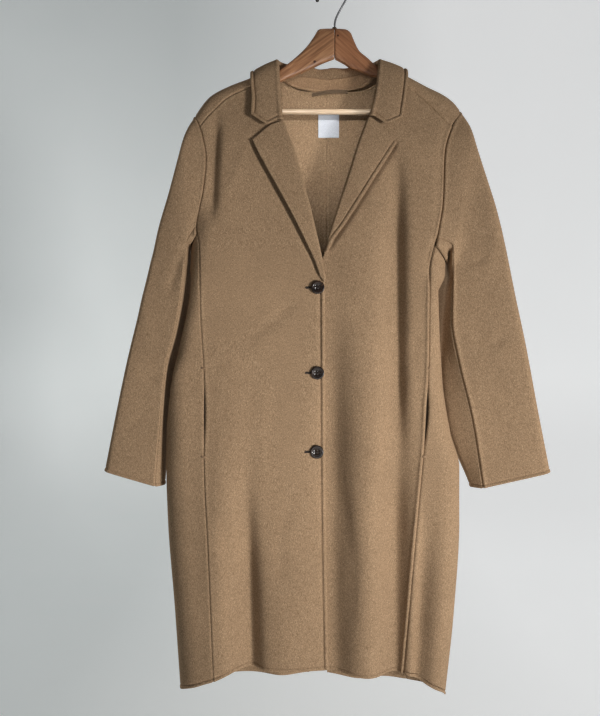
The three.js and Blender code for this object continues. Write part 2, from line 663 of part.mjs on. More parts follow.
// The x of a front, side or back panel's edge at a height, with the seam's gap taken off.
const innerX = (side, z) => frontInner[side].x(z);
const slitAt = (side, z) => side * (SEAM_HALF + frontOuter[side].slit(z));
const outerX = (side, z) => frontOuter[side].x(z) - slitAt(side, z);
const sideFrontX = (side, z) => frontOuter[side].x(z) + slitAt(side, z);
const sideBackX = (side, z) => backOuter[side].x(z) + side * SEAM_HALF;
const backX = (side, z) => backOuter[side].x(z) - side * SEAM_HALF;

// The forward shoulder seam, from the neck (0) to the armhole (1), at a distance below it.
function shoulderSeam(side, share, below) {
  let z = SHOULDER_LEVEL;
  let x = 0;
  for (let pass = 0; pass < 6; pass += 1) {
    x = mix(innerX(side, z), outerX(side, z), share);
    z = shoulder[side].z(Math.abs(x)) - shoulder[side].seam(Math.abs(x)) - below;
  }
  return { x, z };
}

// Height in the lower block, shared by all panels: 0 at the underarm, 1 at the hem.
function lowerZ(side, round, top, share) {
  return mix(top, hem[side].z(round), share);
}

function frontPoint(side, u, v) {
  const top = shoulderSeam(side, u, SHOULDER_SEAM_HALF);
  const hemX = mix(innerX(side, HEM_LEVEL), outerX(side, HEM_LEVEL), u);
  const upper = mix(top.z, UNDERARM[side], v);
  const lower = lowerZ(side, roundAt(side, hemX, HEM_LEVEL), UNDERARM[side], v - 1);
  const z = v <= 1 ? upper : lower;
  return facePoint(side, mix(innerX(side, z), outerX(side, z), u), z);
}

function sidePoint(side, u, v) {
  const start = roundAt(side, sideFrontX(side, HEM_LEVEL), HEM_LEVEL);
  const end = roundAt(side, sideBackX(side, HEM_LEVEL), HEM_LEVEL, true);
  const top = UNDERARM[side] - ARMHOLE_DROP * Math.sin(Math.PI * u);
  const z = lowerZ(side, mix(start, end, u), top, v);
  const from = roundAt(side, sideFrontX(side, z), z);
  const to = roundAt(side, sideBackX(side, z), z, true);
  return bodyPoint(side, mix(from, to, u), z);
}

// The cloth's length round the shoulder from the top line down to a drop below it, and the reverse.
const TURN_LENGTH = (Math.PI / 2) * SHOULDER_ROUND;

function lengthAtDrop(drop) {
  if (drop >= SHOULDER_ROUND) return TURN_LENGTH + drop - SHOULDER_ROUND;
  return SHOULDER_ROUND * Math.acos(1 - drop / SHOULDER_ROUND);
}

function dropAtLength(length) {
  if (length >= TURN_LENGTH) return SHOULDER_ROUND + length - TURN_LENGTH;
  return SHOULDER_ROUND * (1 - Math.cos(length / SHOULDER_ROUND));
}

// The back runs from the armhole (u 0) past the neck point (u 1) to the centre back (u 2).
function backPanelPoint(side, u, v) {
  const topX = backX(side, SHOULDER_LEVEL);
  const seam = shoulderSeam(side, 1 - clamp01(u), -SHOULDER_SEAM_HALF);
  const neckX = shoulderSeam(side, 0, -SHOULDER_SEAM_HALF).x;
  const lineX = u <= 1 ? mix(topX, neckX, u) : mix(neckX, CENTRE_BACK_X + side * SEAM_HALF, u - 1);
  const share = (lineX - topX) / (CENTRE_BACK_X + side * SEAM_HALF - topX);
  const xAt = (z) => mix(backX(side, z), CENTRE_BACK_X + side * SEAM_HALF, share);
  if (v >= 1) {
    const round = roundAt(side, xAt(HEM_LEVEL), HEM_LEVEL, true);
    const z = lowerZ(side, round, UNDERARM[side], v - 1);
    return backPoint(side, xAt(z), z);
  }
  if (u > 1) {
    const neckZ = backNeck.z(Math.abs(lineX));
    const below = neckZ - NECK_EDGE * Math.min(1, v / SHOULDER_SHARE);
    const z = mix(below, UNDERARM[side], clamp01((v - SHOULDER_SHARE) / (1 - SHOULDER_SHARE)));
    return backPoint(side, xAt(z), z);
  }
  const top = shoulder[side].z(Math.abs(lineX));
  if (v <= SHOULDER_SHARE) {
    const t = v / SHOULDER_SHARE;
    const drop = dropAtLength(lengthAtDrop(shoulder[side].z(Math.abs(seam.x)) - seam.z) * (1 - t));
    const nearZ = shoulder[side].z(Math.abs(mix(seam.x, lineX, t))) - drop;
    const x = mix(outerX(side, nearZ), innerX(side, nearZ), u);
    return facePoint(side, x, shoulder[side].z(Math.abs(x)) - drop);
  }
  if (v <= TURN_SHARE) {
    const length = (TURN_LENGTH * (v - SHOULDER_SHARE)) / (TURN_SHARE - SHOULDER_SHARE);
    const z = top - dropAtLength(length);
    return backPoint(side, xAt(z), z);
  }
  const z = mix(top - SHOULDER_ROUND, UNDERARM[side], (v - TURN_SHARE) / (1 - TURN_SHARE));
  return backPoint(side, xAt(z), z);
}

// ---------------------------------------------------------------- lapels and collar

const notchBump = (share) => (share < 0.4 ? share / 0.4 : (1 - share) / 0.6);
const lapelCurves = bySide((side) => {
  const rows = LAPEL[side].map((row, level) => ({ ...row, level: level / (LAPEL[side].length - 1) }));
  return curves(rows, "level");
});

// A lapel, from its roll line (u 0) to its outer edge (u 1), from the gorge (v 0) to the break.
function lapelPoint(side, u, v) {
  const row = lapelCurves[side];
  const radius = row.roll(v);
  const rollZ = row.rollZ(v);
  const rollX = innerX(side, rollZ);
  const angle = clamp01(u / ROLL_SHARE) * Math.PI;
  const share = clamp01((u - ROLL_SHARE) / (1 - ROLL_SHARE));
  const bulge = radius * Math.sin(angle) + ROLL_GAP;
  const x = mix(rollX, row.edgeX(v), share) - side * bulge;
  const notch = LAPEL_NOTCH * notchBump(share) * clamp01(1 - 4 * v);
  const z = mix(rollZ, row.edgeZ(v), share) + notch;
  const over = radius * (1 - Math.cos(angle));
  const lift = mix(over, Math.min(LAPEL_EDGE_LIFT, over), smooth(share));
  const base = facePoint(side, x, z);
  return base.setY(base.y - lift);
}

const stationCurves = bySide((side) =>
  Object.fromEntries(
    ["fold", "edge", "neck"].map((line) => {
      const rows = COLLAR[side].map(({ turn, [line]: [x, y, z] }) => ({ turn, x, y, z }));
      return [line, curves(rows, "turn")];
    }),
  ),
);

// One line of the collar at q: -1 is the right front end, 0 the centre back, 1 the left front end.
function collarLine(line, q) {
  const at = stationCurves[q < 0 ? RIGHT : LEFT][line];
  const turn = 1 - Math.abs(q);
  return new THREE.Vector3(at.x(turn), at.y(turn), at.z(turn));
}

function collarFrame(q) {
  const fold = collarLine("fold", q);
  const edge = collarLine("edge", q);
  const neck = collarLine("neck", q);
  const inward = neck.clone().sub(fold).normalize();
  const outward = edge.clone().sub(fold).normalize();
  const crest = inward.clone().add(outward).normalize().negate();
  const across = outward.clone().sub(inward);
  across.addScaledVector(crest, -across.dot(crest)).normalize();
  return { fold, edge, neck, crest, across };
}

const innerSeam = ({ fold, neck }) => fold.clone().lerp(neck, COLLAR_INNER_SHARE);

// The fall, from its seam with the stand (v 0), over the fold, to its outer edge (v 1).
function fallPoint(q, v) {
  const frame = collarFrame(q);
  const centre = frame.fold.clone().addScaledVector(frame.crest, -COLLAR_ROLL);
  const onRoll = (angle) =>
    centre
      .clone()
      .addScaledVector(frame.across, -COLLAR_ROLL * Math.cos(angle))
      .addScaledVector(frame.crest, COLLAR_ROLL * Math.sin(angle));
  if (v < FALL_INSIDE) return innerSeam(frame).lerp(onRoll(0), v / FALL_INSIDE);
  if (v < FALL_FOLDED) return onRoll(((v - FALL_INSIDE) / (FALL_FOLDED - FALL_INSIDE)) * Math.PI);
  const share = (v - FALL_FOLDED) / (1 - FALL_FOLDED);
  const point = onRoll(Math.PI).lerp(frame.edge, share);
  const end = clamp01((Math.abs(q) - COLLAR_END) / (1 - COLLAR_END));
  point.z -= COLLAR_NOTCH * notchBump(share) * end;
  return point;
}

// The stand, from the neck seam (v 0) up to the fall's seam (v 1).
function standPoint(q, v) {
  const frame = collarFrame(q);
  const seam = innerSeam(frame);
  const height = seam.distanceTo(frame.neck);
  return frame.neck.clone().lerp(seam, mix(SEAM_GAP, height - STAND_GAP, v) / height);
}

// ---------------------------------------------------------------- sleeves

const sleeveCurves = bySide((side) => {
  const rows = SLEEVE[side].map((row, i) => ({ ...row, level: i + 1 }));
  return curves(rows, "level");
});
const outline = curves(SLEEVE_OUTLINE, "turn");

function sleeveSection(side, turn, level) {
  const row = sleeveCurves[side];
  const wrapped = (turn + 2) % 2;
  const out = outline.out(wrapped);
  const ridge = outline.ridge(wrapped);
  const inner = 1 - out - ridge;
  const edges = row.outX(level) * out + row.ridgeX(level) * ridge + row.inX(level) * inner;
  const x = edges - side * row.tuck(level) * outline.tuck(wrapped);
  const z = mix(row.inZ(level), row.outZ(level), out);
  return new THREE.Vector3(x, row.midY(level) - row.depth(level) * outline.front(wrapped), z);
}

// The armhole's edge, with the same turn as the sleeve.
function armholePoint(side, turn) {
  const wrapped = (turn + 2) % 2;
  const drop = (angle) => 1 - Math.cos(Math.PI * angle);
  const ease = (part) => drop(part) / drop(ARMHOLE_FRONT_SHARE);
  const topZ = shoulder[side].z(Math.abs(frontOuter[side].x(0)));
  if (wrapped <= ARMHOLE_FRONT_SHARE) {
    const z = mix(topZ, UNDERARM[side], ease(wrapped));
    return facePoint(side, frontOuter[side].x(z), z);
  }
  if (wrapped >= 2 - ARMHOLE_FRONT_SHARE) {
    const z = mix(topZ, UNDERARM[side], ease(2 - wrapped));
    return backPoint(side, backOuter[side].x(z), z);
  }
  const across = (wrapped - ARMHOLE_FRONT_SHARE) / (2 - 2 * ARMHOLE_FRONT_SHARE);
  return sidePoint(side, across, 0);
}

function sleevePoint(side, turn, level) {
  if (level >= 1) return sleeveSection(side, turn, level);
  const edge = armholePoint(side, turn);
  const section = sleeveSection(side, turn, 1);
  const wrapped = (turn + 2) % 2;
  const [from, to] = UNDERARM_TURNS;
  const under = Math.sin(Math.PI * clamp01((wrapped - from) / (to - from))) ** 2;
  const start = edge.clone();
  const ridge = smooth(1 - Math.abs(wrapped - RIDGE_TURN) / RIDGE_TURN);
  start.x += side * Math.max(mix(HEAD_START, UNDERARM_OUT, under), RIDGE_START * ridge);
  return start.lerp(section, level);
}

// ---------------------------------------------------------------- small sewn pieces

// A cylinder along Y, from one depth to another.
function pinAlongY(radius, x, z, fromY, toY, sides = 12) {
  const pin = new THREE.CylinderGeometry(radius, radius, Math.abs(toY - fromY), sides);
  return toSolid(pin.translate(x, (fromY + toY) / 2, z));
}

function buttonhole({ x, z }) {
  const { length, width, eye, cut } = BUTTONHOLE;
  const shape = new THREE.Shape();
  const meet = Math.asin(width / 2 / eye);
  shape.absarc(0, 0, eye, Math.PI + meet, Math.PI * 3 - meet, false);
  shape.lineTo(-length, width / 2);
  shape.lineTo(-length, -width / 2);
  const cutter = new THREE.ExtrudeGeometry(shape, { depth: cut, bevelEnabled: false, curveSegments: 5 });
  const face = facePoint(RIGHT, x, z);
  return toSolid(cutter.rotateX(Math.PI / 2).translate(x, face.y + cut / 2, z));
}

function button({ x, z }) {
  const { radius, thick, rim, slope, dish, hole, spread, shank, sunk } = BUTTON;
  const profile = [
    [0, 0],
    [radius - BUTTON.back, 0],
    [radius, BUTTON.back],
    [radius, thick - BUTTON.front],
    [radius - BUTTON.front, thick],
    [radius - rim, thick],
    [radius - rim - slope, thick - dish],
    [0, thick - dish],
  ].map(([r, h]) => new THREE.Vector2(r, h));
  const back = facePoint(RIGHT, x, z).y - WALL / 2 - BUTTON_LIFT;
  const seat = facePoint(LEFT, x, z).y - WALL / 2 - 2 * SEAM_GAP;
  const disc = new THREE.LatheGeometry(profile, BUTTON.facets).rotateX(Math.PI).translate(x, back, z);
  let solid = toSolid(disc);
  for (const [across, up] of [[1, 1], [1, -1], [-1, 1], [-1, -1]]) {
    const [holeX, holeZ] = [x + across * spread, z + up * spread];
    const pin = pinAlongY(hole, holeX, holeZ, back - thick - 1, back - 2 * sunk, 8);
    solid = solid.subtract(pin);
  }
  return fromSolid(solid.add(pinAlongY(shank, x, z, seat, back - sunk)));
}

// A point off a front's middle surface, positive outward.
function offFront(side, x, z, distance) {
  const here = facePoint(side, x, z);
  const across = facePoint(side, x + NUDGE, z).sub(here);
  const up = facePoint(side, x, z + NUDGE).sub(here);
  return here.addScaledVector(across.cross(up).normalize(), distance);
}

// The pocket's bag hangs behind the front, and its edge shows in the slit.
function pocketPoint(side, u, v) {
  const z = mix(POCKET.bagTop, POCKET.bottom - POCKET.drop * smooth(u * 2), v);
  const x = frontOuter[side].x(z) + side * (POCKET.showing - POCKET.depth * u);
  return offFront(side, x, z, -POCKET.inside[side]);
}

// The label and the hanger loop lie on the inside of the back.
const insideBack = (x, z) => backPoint(x < 0 ? RIGHT : LEFT, x, z).y - WALL / 2 - THIN_WALL / 2 - SEAM_GAP;

function labelPoint(u, v) {
  const x = LABEL.x + LABEL.width * (u - 0.5);
  const z = LABEL.top - LABEL.height * v;
  return new THREE.Vector3(x, insideBack(x, z), z);
}

function loopPoint(u, v) {
  const x = mix(LOOP.right, LOOP.left, u);
  const middle = mix(LOOP.rightZ, LOOP.leftZ, u) + LOOP.arch * Math.sin(Math.PI * u);
  const z = middle + LOOP.width * (0.5 - v);
  const bow = LOOP.bow * Math.sin(Math.PI * u);
  return new THREE.Vector3(x, insideBack(x, z) - bow, z);
}

// ---------------------------------------------------------------- hanger

function barAlong(from, to, radius) {
  const bar = new THREE.CylinderGeometry(radius, radius, to - from, BAR.facets);
  return bar.rotateZ(Math.PI / 2).translate((from + to) / 2, BAR.y, BAR.z);
}

// An upright eight-cornered ring across an arm.
function armRing({ x, top, bottom, y, thick }) {
  const cutY = thick * ARM_CHAMFER;
  const cutZ = ((top - bottom) * ARM_CHAMFER) / 3;
  const [front, back] = [y - thick / 2, y + thick / 2];
  return [
    [front + cutY, top],
    [back - cutY, top],
    [back, top - cutZ],
    [back, bottom + cutZ],
    [back - cutY, bottom],
    [front + cutY, bottom],
    [front, bottom + cutZ],
    [front, top - cutZ],
  ].map(([ringY, ringZ]) => new THREE.Vector3(x, ringY, ringZ));
}

// An arm, with the socket that takes the bar's end.
function hangerArm(side) {
  const rings = HANGER_ARM[side].map(armRing);
  const arm = toSolid(loft(side === LEFT ? rings.reverse() : rings));
  const [from, to] = side === RIGHT ? [BAR.right - SEAM_GAP, 0] : [0, BAR.left + SEAM_GAP];
  return fromSolid(arm.subtract(toSolid(barAlong(from, to, BAR.radius + SEAM_GAP))));
}

// A rod along a path, with flat ends.
function rod(path, radius, sides, count) {
  const shape = new THREE.Shape();
  shape.absarc(0, 0, radius, 0, Math.PI * 2);
  return new THREE.ExtrudeGeometry(shape, {
    steps: count,
    extrudePath: path,
    bevelEnabled: false,
    curveSegments: sides,
  });
}

function hangerHook() {
  const { radius, wire, tip, startTurn, endTurn, stemX, kneeX, kneeZ } = HOOK;
  const centreZ = wire - radius;
  const top = HANGER_ARM[LEFT][0].top + SEAM_GAP;
  const points = [new THREE.Vector3(stemX, 0, top), new THREE.Vector3(stemX + 0.5, 0, top + 10)];
  points.push(new THREE.Vector3(kneeX, 0, kneeZ));
  const arcSteps = 16;
  for (const share of steps(arcSteps)) {
    const angle = THREE.MathUtils.degToRad(mix(startTurn, endTurn, share));
    points.push(new THREE.Vector3(radius * Math.cos(angle), 0, centreZ + radius * Math.sin(angle)));
  }
  const wireSolid = toSolid(rod(new THREE.CatmullRomCurve3(points), wire, 5, 44));
  const end = points[points.length - 1];
  const ball = toSolid(new THREE.SphereGeometry(tip, 12, 8).translate(end.x, end.y, end.z));
  return fromSolid(wireSolid.add(ball));
}

// ---------------------------------------------------------------- the coat on its hanger

const group = new THREE.Group();

function place(name, geometry, color, roughness, metalness = 0) {
  const material = new THREE.MeshStandardMaterial({ color, roughness, metalness });
  const mesh = new THREE.Mesh(geometry, material);
  mesh.name = name;
  group.add(mesh);
}

const wool = (name, geometry) => place(name, geometry, COLOUR.wool, 0.95);
const lowerRows = steps(LOWER_ROWS).map((share) => 1 + share);
const panelRows = UPPER_ROWS.concat(lowerRows.slice(1));
const backRows = BACK_UPPER_ROWS.concat(lowerRows);
const backColumns = steps(FRONT_COLUMNS).concat(steps(NECK_COLUMNS).slice(1).map((share) => 1 + share));

const frontSheet = (side) => sheet((u, v) => frontPoint(side, u, v), steps(FRONT_COLUMNS), panelRows);
const holes = BUTTONS.map(buttonhole).reduce((all, hole) => all.add(hole));
wool("front_right", fromSolid(toSolid(frontSheet(RIGHT)).subtract(holes)));
wool("front_left", frontSheet(LEFT));

for (const side of [RIGHT, LEFT]) {
  const name = sideName[side];
  const panel = (at, us, vs, wall) => sheet((u, v) => at(side, u, v), us, vs, wall);
  wool(`side_${name}`, panel(sidePoint, steps(SIDE_COLUMNS), steps(LOWER_ROWS)));
  wool(`back_${name}`, panel(backPanelPoint, backColumns, backRows));
  wool(`sleeve_${name}_top`, panel(sleevePoint, SLEEVE_TOP_TURNS, SLEEVE_ROWS));
  wool(`sleeve_${name}_under`, panel(sleevePoint, SLEEVE_UNDER_TURNS, SLEEVE_ROWS));
  wool(`lapel_${name}`, panel(lapelPoint, LAPEL_COLUMNS, steps(LAPEL_ROWS)));
  place(`pocket_bag_${name}`, panel(pocketPoint, steps(5), steps(6), THIN_WALL), COLOUR.pocketing, 0.9);
}

const collarShares = steps(COLLAR_COLUMNS).map((share) => 2 * share - 1);
wool("collar_fall", sheet(fallPoint, collarShares, FALL_ROWS));
const standShares = collarShares.filter((q) => Math.abs(q) <= STAND_REACH);
wool("collar_stand", sheet(standPoint, standShares, steps(2)));

place("neck_label", sheet(labelPoint, steps(4), steps(4), THIN_WALL), COLOUR.label, 0.7);
place("hanger_loop", sheet(loopPoint, steps(10), steps(1), THIN_WALL), COLOUR.loop, 0.85);
for (const spot of BUTTONS) place(spot.name, button(spot), COLOUR.horn, 0.3);

place("hanger_arm_right", hangerArm(RIGHT), COLOUR.wood, 0.5);
place("hanger_arm_left", hangerArm(LEFT), COLOUR.wood, 0.5);
place("hanger_bar", barAlong(BAR.right, BAR.left, BAR.radius), COLOUR.paleWood, 0.55);
place("hanger_hook", hangerHook(), COLOUR.chrome, 0.25, 1);

export default group;
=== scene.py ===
"""A camel wool overcoat on a wooden hanger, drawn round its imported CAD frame.

Sizes in the tables are millimetres in the frame's own axes: +Z up, the coat faces -Y, and +X is the
wearer's left. "Right" and "left" are the wearer's. Meshes are made in millimetres and scaled once.
"""
import math
from types import SimpleNamespace

import bmesh
import bpy
import numpy as np
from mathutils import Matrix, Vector


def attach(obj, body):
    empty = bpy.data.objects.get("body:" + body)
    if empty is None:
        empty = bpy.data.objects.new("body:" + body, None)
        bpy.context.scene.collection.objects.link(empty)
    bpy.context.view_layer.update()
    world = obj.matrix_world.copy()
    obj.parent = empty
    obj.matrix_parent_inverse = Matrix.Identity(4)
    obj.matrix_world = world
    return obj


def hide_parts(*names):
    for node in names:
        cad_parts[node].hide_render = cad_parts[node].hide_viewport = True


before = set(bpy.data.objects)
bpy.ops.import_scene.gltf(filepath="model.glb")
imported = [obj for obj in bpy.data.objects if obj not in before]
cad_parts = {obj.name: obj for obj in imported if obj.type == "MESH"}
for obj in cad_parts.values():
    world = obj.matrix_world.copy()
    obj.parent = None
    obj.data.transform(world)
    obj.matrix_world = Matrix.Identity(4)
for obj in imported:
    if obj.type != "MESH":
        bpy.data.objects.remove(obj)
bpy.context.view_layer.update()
MM = 0.001
RIGHT, LEFT = -1, 1
SIDES = (RIGHT, LEFT)
SIDE_NAME = {RIGHT: "right", LEFT: "left"}
COARSE = 1.0

# ---- tables


def monotone(xs, ys):
    """A smooth curve through points, which never overshoots them."""
    order = np.argsort(xs)
    xs, ys = np.asarray(xs, float)[order], np.asarray(ys, float)[order]
    slope = np.diff(ys) / np.diff(xs)
    before, after = slope[:-1], slope[1:]
    same = before * after > 0
    total = np.where(same, before + after, 1)
    inner = np.where(same, 2 * before * after / total, 0)
    tangent = np.concatenate([slope[:1], inner, slope[-1:]])

    def at(value):
        value = np.clip(value, xs[0], xs[-1])
        i = np.clip(np.searchsorted(xs, value, side="right") - 1, 0, len(xs) - 2)
        span = xs[i + 1] - xs[i]
        t = (value - xs[i]) / span
        rise = t * t * (3 - 2 * t)
        bend = span * t * (1 - t)
        return ys[i] + (ys[i + 1] - ys[i]) * rise + bend * (tangent[i] * (1 - t) - tangent[i + 1] * t)

    return at


def number(word):
    """A number, or a fraction such as 1/6."""
    top, _, bottom = word.partition("/")
    return float(top) / float(bottom or 1)


def rows_in(text):
    return [[number(word) for word in line.split()] for line in text.strip().splitlines()]


def table(names, text):
    """Curves through a table's columns, read at its first column."""
    columns = list(zip(*rows_in(text)))
    curves = [monotone(columns[0], column) for column in columns[1:]]
    return SimpleNamespace(**dict(zip(names.split()[1:], curves)))


def two_tables(names, text):
    """The same columns for both sides of the coat: the right's table, a bar, and the left's."""
    lines = [line.split("|") for line in text.strip().splitlines()]
    right, left = ("\n".join(line[k] for line in lines) for k in (0, 1))
    return {RIGHT: table(names, right), LEFT: table(names, left)}


def rows_of(names, text):
    """A table's rows, each with its columns by name."""
    return [SimpleNamespace(**dict(zip(names.split(), row))) for row in rows_in(text)]


WALL = 2.4
THIN_WALL = 1.0
HANGER_PLANE_Y = 0
EDGE_Y = -8  # the plane where front and back meet at the sides
SHOULDER_ROUND = 26
ARMHOLE_DROP = 26  # how far the armhole dips between the front and the back
CENTRE_BACK_X = -7
UNDERLAP = 4.4  # how far the left front lies behind the right
UNDERLAP_END, UNDERLAP_FADE = 46, 60  # where along X that ends, and over what width

# The body by height: how far its sides and faces stand out, and how wide the faces turn at the sides.
BODY = table("z right left front back round back_round", """
     -160   -262 245 -20 17 60 60
     -250   -262 245 -27 22 60 60
     -340   -246 222 -38 27 52 60
     -440   -250 216 -44 27 46 60
     -520   -253 203 -47 25 34 60
     -590   -261 201 -47 23 32 60
     -645   -272 197 -47 22 32 60
     -681   -278 195 -47 22 32 60
     -730 -294.5 197 -47 22 35 60
     -830 -296.5 212 -47 22 38 56
     -890   -297 228 -47 22 40 52
     -990   -294 228 -48 23 42 50
    -1140   -282 219 -49 25 42 50
    -1310   -270 201 -50 28 40 50
""")
# The shoulders' top line, and how far in front of it the shoulder seam lies below it.
SHOULDER = two_tables("x z seam", """
    104 -171  1 |  92 -167  1
    128 -181 19 | 118 -178 23
    147 -190 22 | 136 -187 27
    185 -205 27 | 169 -205 38
    218 -223 40 | 204 -223 56
    239 -248 42 | 222 -238 52
    250 -268 40 | 235 -260 48
""")
# The side-front seam, and half of what the pocket's opening gapes.
FRONT_OUTER = two_tables("z x slit", """
     -262 -245   0 |  -256 229   0
     -300 -231   0 |  -283 213   0
     -345 -224   0 |  -336 198   0
     -400 -229   0 |  -419 194   0
     -461 -240   0 |  -482 183   0
     -500 -234   0 |  -543 170   0
     -614 -232   0 |  -693 168   0
     -716 -226   0 |  -722 167   0
     -790 -224 1.8 |  -790 165 2.6
     -866 -225   0 |  -878 157   0
    -1032 -217   0 | -1032 143   0
    -1300 -205   0 | -1300 121   0
""")
# The front's inner edge: the roll line down to the break, and the front edge below it.
FRONT_INNER = two_tables("z x", """
     -172 -104 |  -168   92
     -195 -103 |  -190   91
     -215 -101 |  -212   89
     -245  -95 |  -240   81
     -278  -90 |  -271   67
     -328  -73 |  -316   50
     -386  -57 |  -361 36.5
     -438  -43 |  -452    6
     -487  -31 |  -525  -19
     -529  -21 |  -565  -42
     -570  -15 |  -620  -50
     -909  -14 |  -909  -50
    -1290   -8 | -1290  -46
""")
# The seam between the side and the back.
BACK_OUTER = two_tables("z x", """
     -262 -245 |  -256 229
     -300 -233 |  -300 210
     -360 -222 |  -360 196
     -430 -224 |  -430 186
     -500 -212 |  -520 160
     -745 -232 |  -745 150
     -990 -230 |  -990 166
    -1310 -206 | -1310 142
""")
# Heights of the underarm points.
UNDERARM = {RIGHT: -476, LEFT: -500}
BACK_NECK = table("x z", """
      0 -206
     50 -204
     80 -193
    100 -176
""")
# The hem: its height by the way round the body, 0 centre front, 1 side edge, 2 centre back.
HEM = two_tables("round z", """
    -0.3 -1241 | -0.3 -1240
    0.35 -1239 | 0.25 -1247
    0.55 -1240 | 0.52 -1250
    0.72 -1256 |  0.7 -1266
    0.85 -1272 | 0.85 -1282
       1 -1287 |    1 -1300
     1.3 -1284 |  1.3 -1296
       2 -1276 |    2 -1280
""")
# Hanging folds, each from its top to its foot: how far it stands out, where it starts and how wide it is.
FRONT_FOLDS = rows_of("top_x top foot_x foot push swell to_right to_left fade", """
    -205 -250 -213  -470   -11  60 16  9  60
    -181 -640 -192 -1400    16 400 46 40   0
    -157 -830 -136 -1400   -25 260 34 17   0
     -84 -900  -78 -1400     8 300 40 46   0
       0 -560    6 -1400   -11 300 30 22   0
      60 -420   64 -1400    16 500 44 44   0
     114 -290  117  -900 -19.5 210 26 12 160
     112 -760  108 -1400   -26 240 30 22   0
     165 -900  141 -1400   -16 260 10 20   0
""")
BACK_FOLDS = rows_of("top_x top foot_x foot push swell to_right to_left fade", """
    -150 -520 -165 -1400  10 500 40 46 0
     -84 -640  -92 -1400 -13 420 30 36 0
      40 -600   48 -1400 -12 460 34 28 0
     104 -540  110 -1400  10 480 34 40 0
""")
# The lapels from the gorge down to the break: the roll line, the outer edge and the roll's radius.
LAPEL = two_tables("level roll_z edge_x edge_z roll", """
      0 -279 -140 -313 3.6 |   0 -272 110 -319 3.6
    1/6 -328 -127 -340 4.2 | 1/6 -316 100 -335 4.2
    2/6 -386  -96 -397 4.4 | 2/6 -361  74 -376 4.4
    3/6 -438  -67 -451 4.2 | 3/6 -405  46 -421 4.2
    4/6 -487  -47 -492 3.6 | 4/6 -452  19 -463 3.4
    5/6 -529  -30 -528 2.6 | 5/6 -488  -1 -490 2.4
      1 -562  -22 -552 1.9 |   1 -510  -9 -508 1.9
""")
# The collar from its end (0) to the centre back (1): the fold, the outer edge and the neck seam.
COLLAR = two_tables("turn fold_x fold_y fold_z edge_x edge_y edge_z neck_x neck_y neck_z", """
       0 -90 -40 -276 -143 -40   -267  -89 -32   -273 |    0 67 -40 -269 122 -40   -272 66 -32   -266
    0.25 -94 -34 -224 -142 -36   -236  -94 -25   -233 | 0.25 79 -34 -216 128 -36   -236 79 -25   -228
     0.4 -96 -26 -182 -144 -32   -206  -99 -19   -190 |  0.4 83 -26 -180 132 -32   -204 86 -19   -188
    0.46 -97 -15 -163 -145 -21 -188.5 -100 -11   -170 | 0.46 84 -15 -162 134 -21   -186 88 -11   -167
     0.5 -97  -5 -158 -145  -8 -181.5 -100  -2   -167 |  0.5 84  -5 -158 134  -8 -176.5 88  -2 -163.5
    0.56 -93   6 -156 -143   9   -183  -98   7   -170 | 0.56 80   6 -156 131   9   -178 86   7   -167
    0.65 -80  16 -156 -130  26   -199  -88  14   -183 | 0.65 68  16 -156 118  26 -193.5 76  14   -181
    0.75 -62  21 -157 -106  32   -213  -68  16   -194 | 0.75 50  21 -157  94  32   -211 57  16   -194
       1  -6  27 -161   -7  32   -232   -7  20 -205.2 |    1 -6  27 -161  -7  32   -232 -7  20 -205.2
""")
COLLAR_INNER_SHARE = 0.42  # where the seam between stand and fall lies, from the fold to the neck
STAND_REACH = 0.62  # how much of the collar's turn the stand shows on
COLLAR_ROLL = 4
# Sections of the sleeves from below the shoulder (1) to the cuff (8).
SLEEVE = two_tables("level out_x out_z ridge_x in_x in_z tuck mid_y depth", """
    1 -268 -314   -258   -257 -499  0 -5   33 | 1 252 -300 211 209 -506  0 -5   35
    2 -290 -396 -259.5 -258.5 -523  5 -7 30.8 | 2 272 -370 212 210 -528  8 -7   32
    3 -310 -463   -262   -261 -550  9 -8   29 | 3 291 -438 213 210 -550 14 -8 29.5
    4 -325 -532 -266.5   -266 -590 12 -8 27.5 | 4 306 -500 212 208 -582 18 -9 27.5
    5 -345 -610 -276.5   -276 -645 14 -7   25 | 5 323 -582 211 204 -634 18 -9   26
    6 -366 -694   -293 -292.5 -708 15 -6   24 | 6 343 -674 224 202 -706 19 -8   25
    7 -387 -790   -303 -302.5 -800 14 -5   22 | 7 364 -782 249 212 -806 14 -6   23
    8 -409 -898   -314   -304 -924  3 -4   19 | 8 388 -898 270 255 -930  0 -4   19
""")
# Half-way shares of a section's outline, by the turn round it: 0 outer edge, 1 inner edge.
SLEEVE_OUTLINE = table("turn out ridge front tuck", """
    -0.12  0.97     0 -0.62    0
        0     1     0     0    0
      0.1 0.985 0.015  0.55    0
     0.22   0.9   0.1  0.93    0
     0.45  0.52  0.48     1    0
      0.7  0.05  0.95     1    0
     0.78  0.01  0.98  0.93    0
     0.86     0  0.62  0.62    0
        1     0     0     0 0.05
     1.14  0.02     0 -0.62 0.55
     1.28  0.12     0 -0.95    1
      1.5  0.45     0    -1 0.45
     1.74  0.82     0 -0.93    0
     1.88  0.97     0 -0.62    0
        2     1     0     0    0
""")
SLEEVE_FRONT_SEAM, SLEEVE_BACK_SEAM = 0.745, 1.74  # turns
SLEEVE_TILT = {RIGHT: -6, LEFT: 22}  # how much further forward the outer edge hangs than the inner
ARMHOLE_FRONT_SHARE = 0.8  # the turn at which the armhole leaves the front for the side panel
HEAD_START, UNDERARM_OUT = 0.5, 4  # how far outside the armhole the sleeve starts, above and below

# ---- the body's surface


def mix(a, b, t):
    return a + (b - a) * t


def clamp01(value):
    return np.clip(value, 0, 1)


def smooth(value):
    value = clamp01(value)
    return value * value * (3 - 2 * value)


def bell(value):
    return np.exp(-(value**2))


def pick(condition, points, others):
    """np.where for arrays of points, with one condition for each point."""
    return np.where(condition[..., None], points, others)


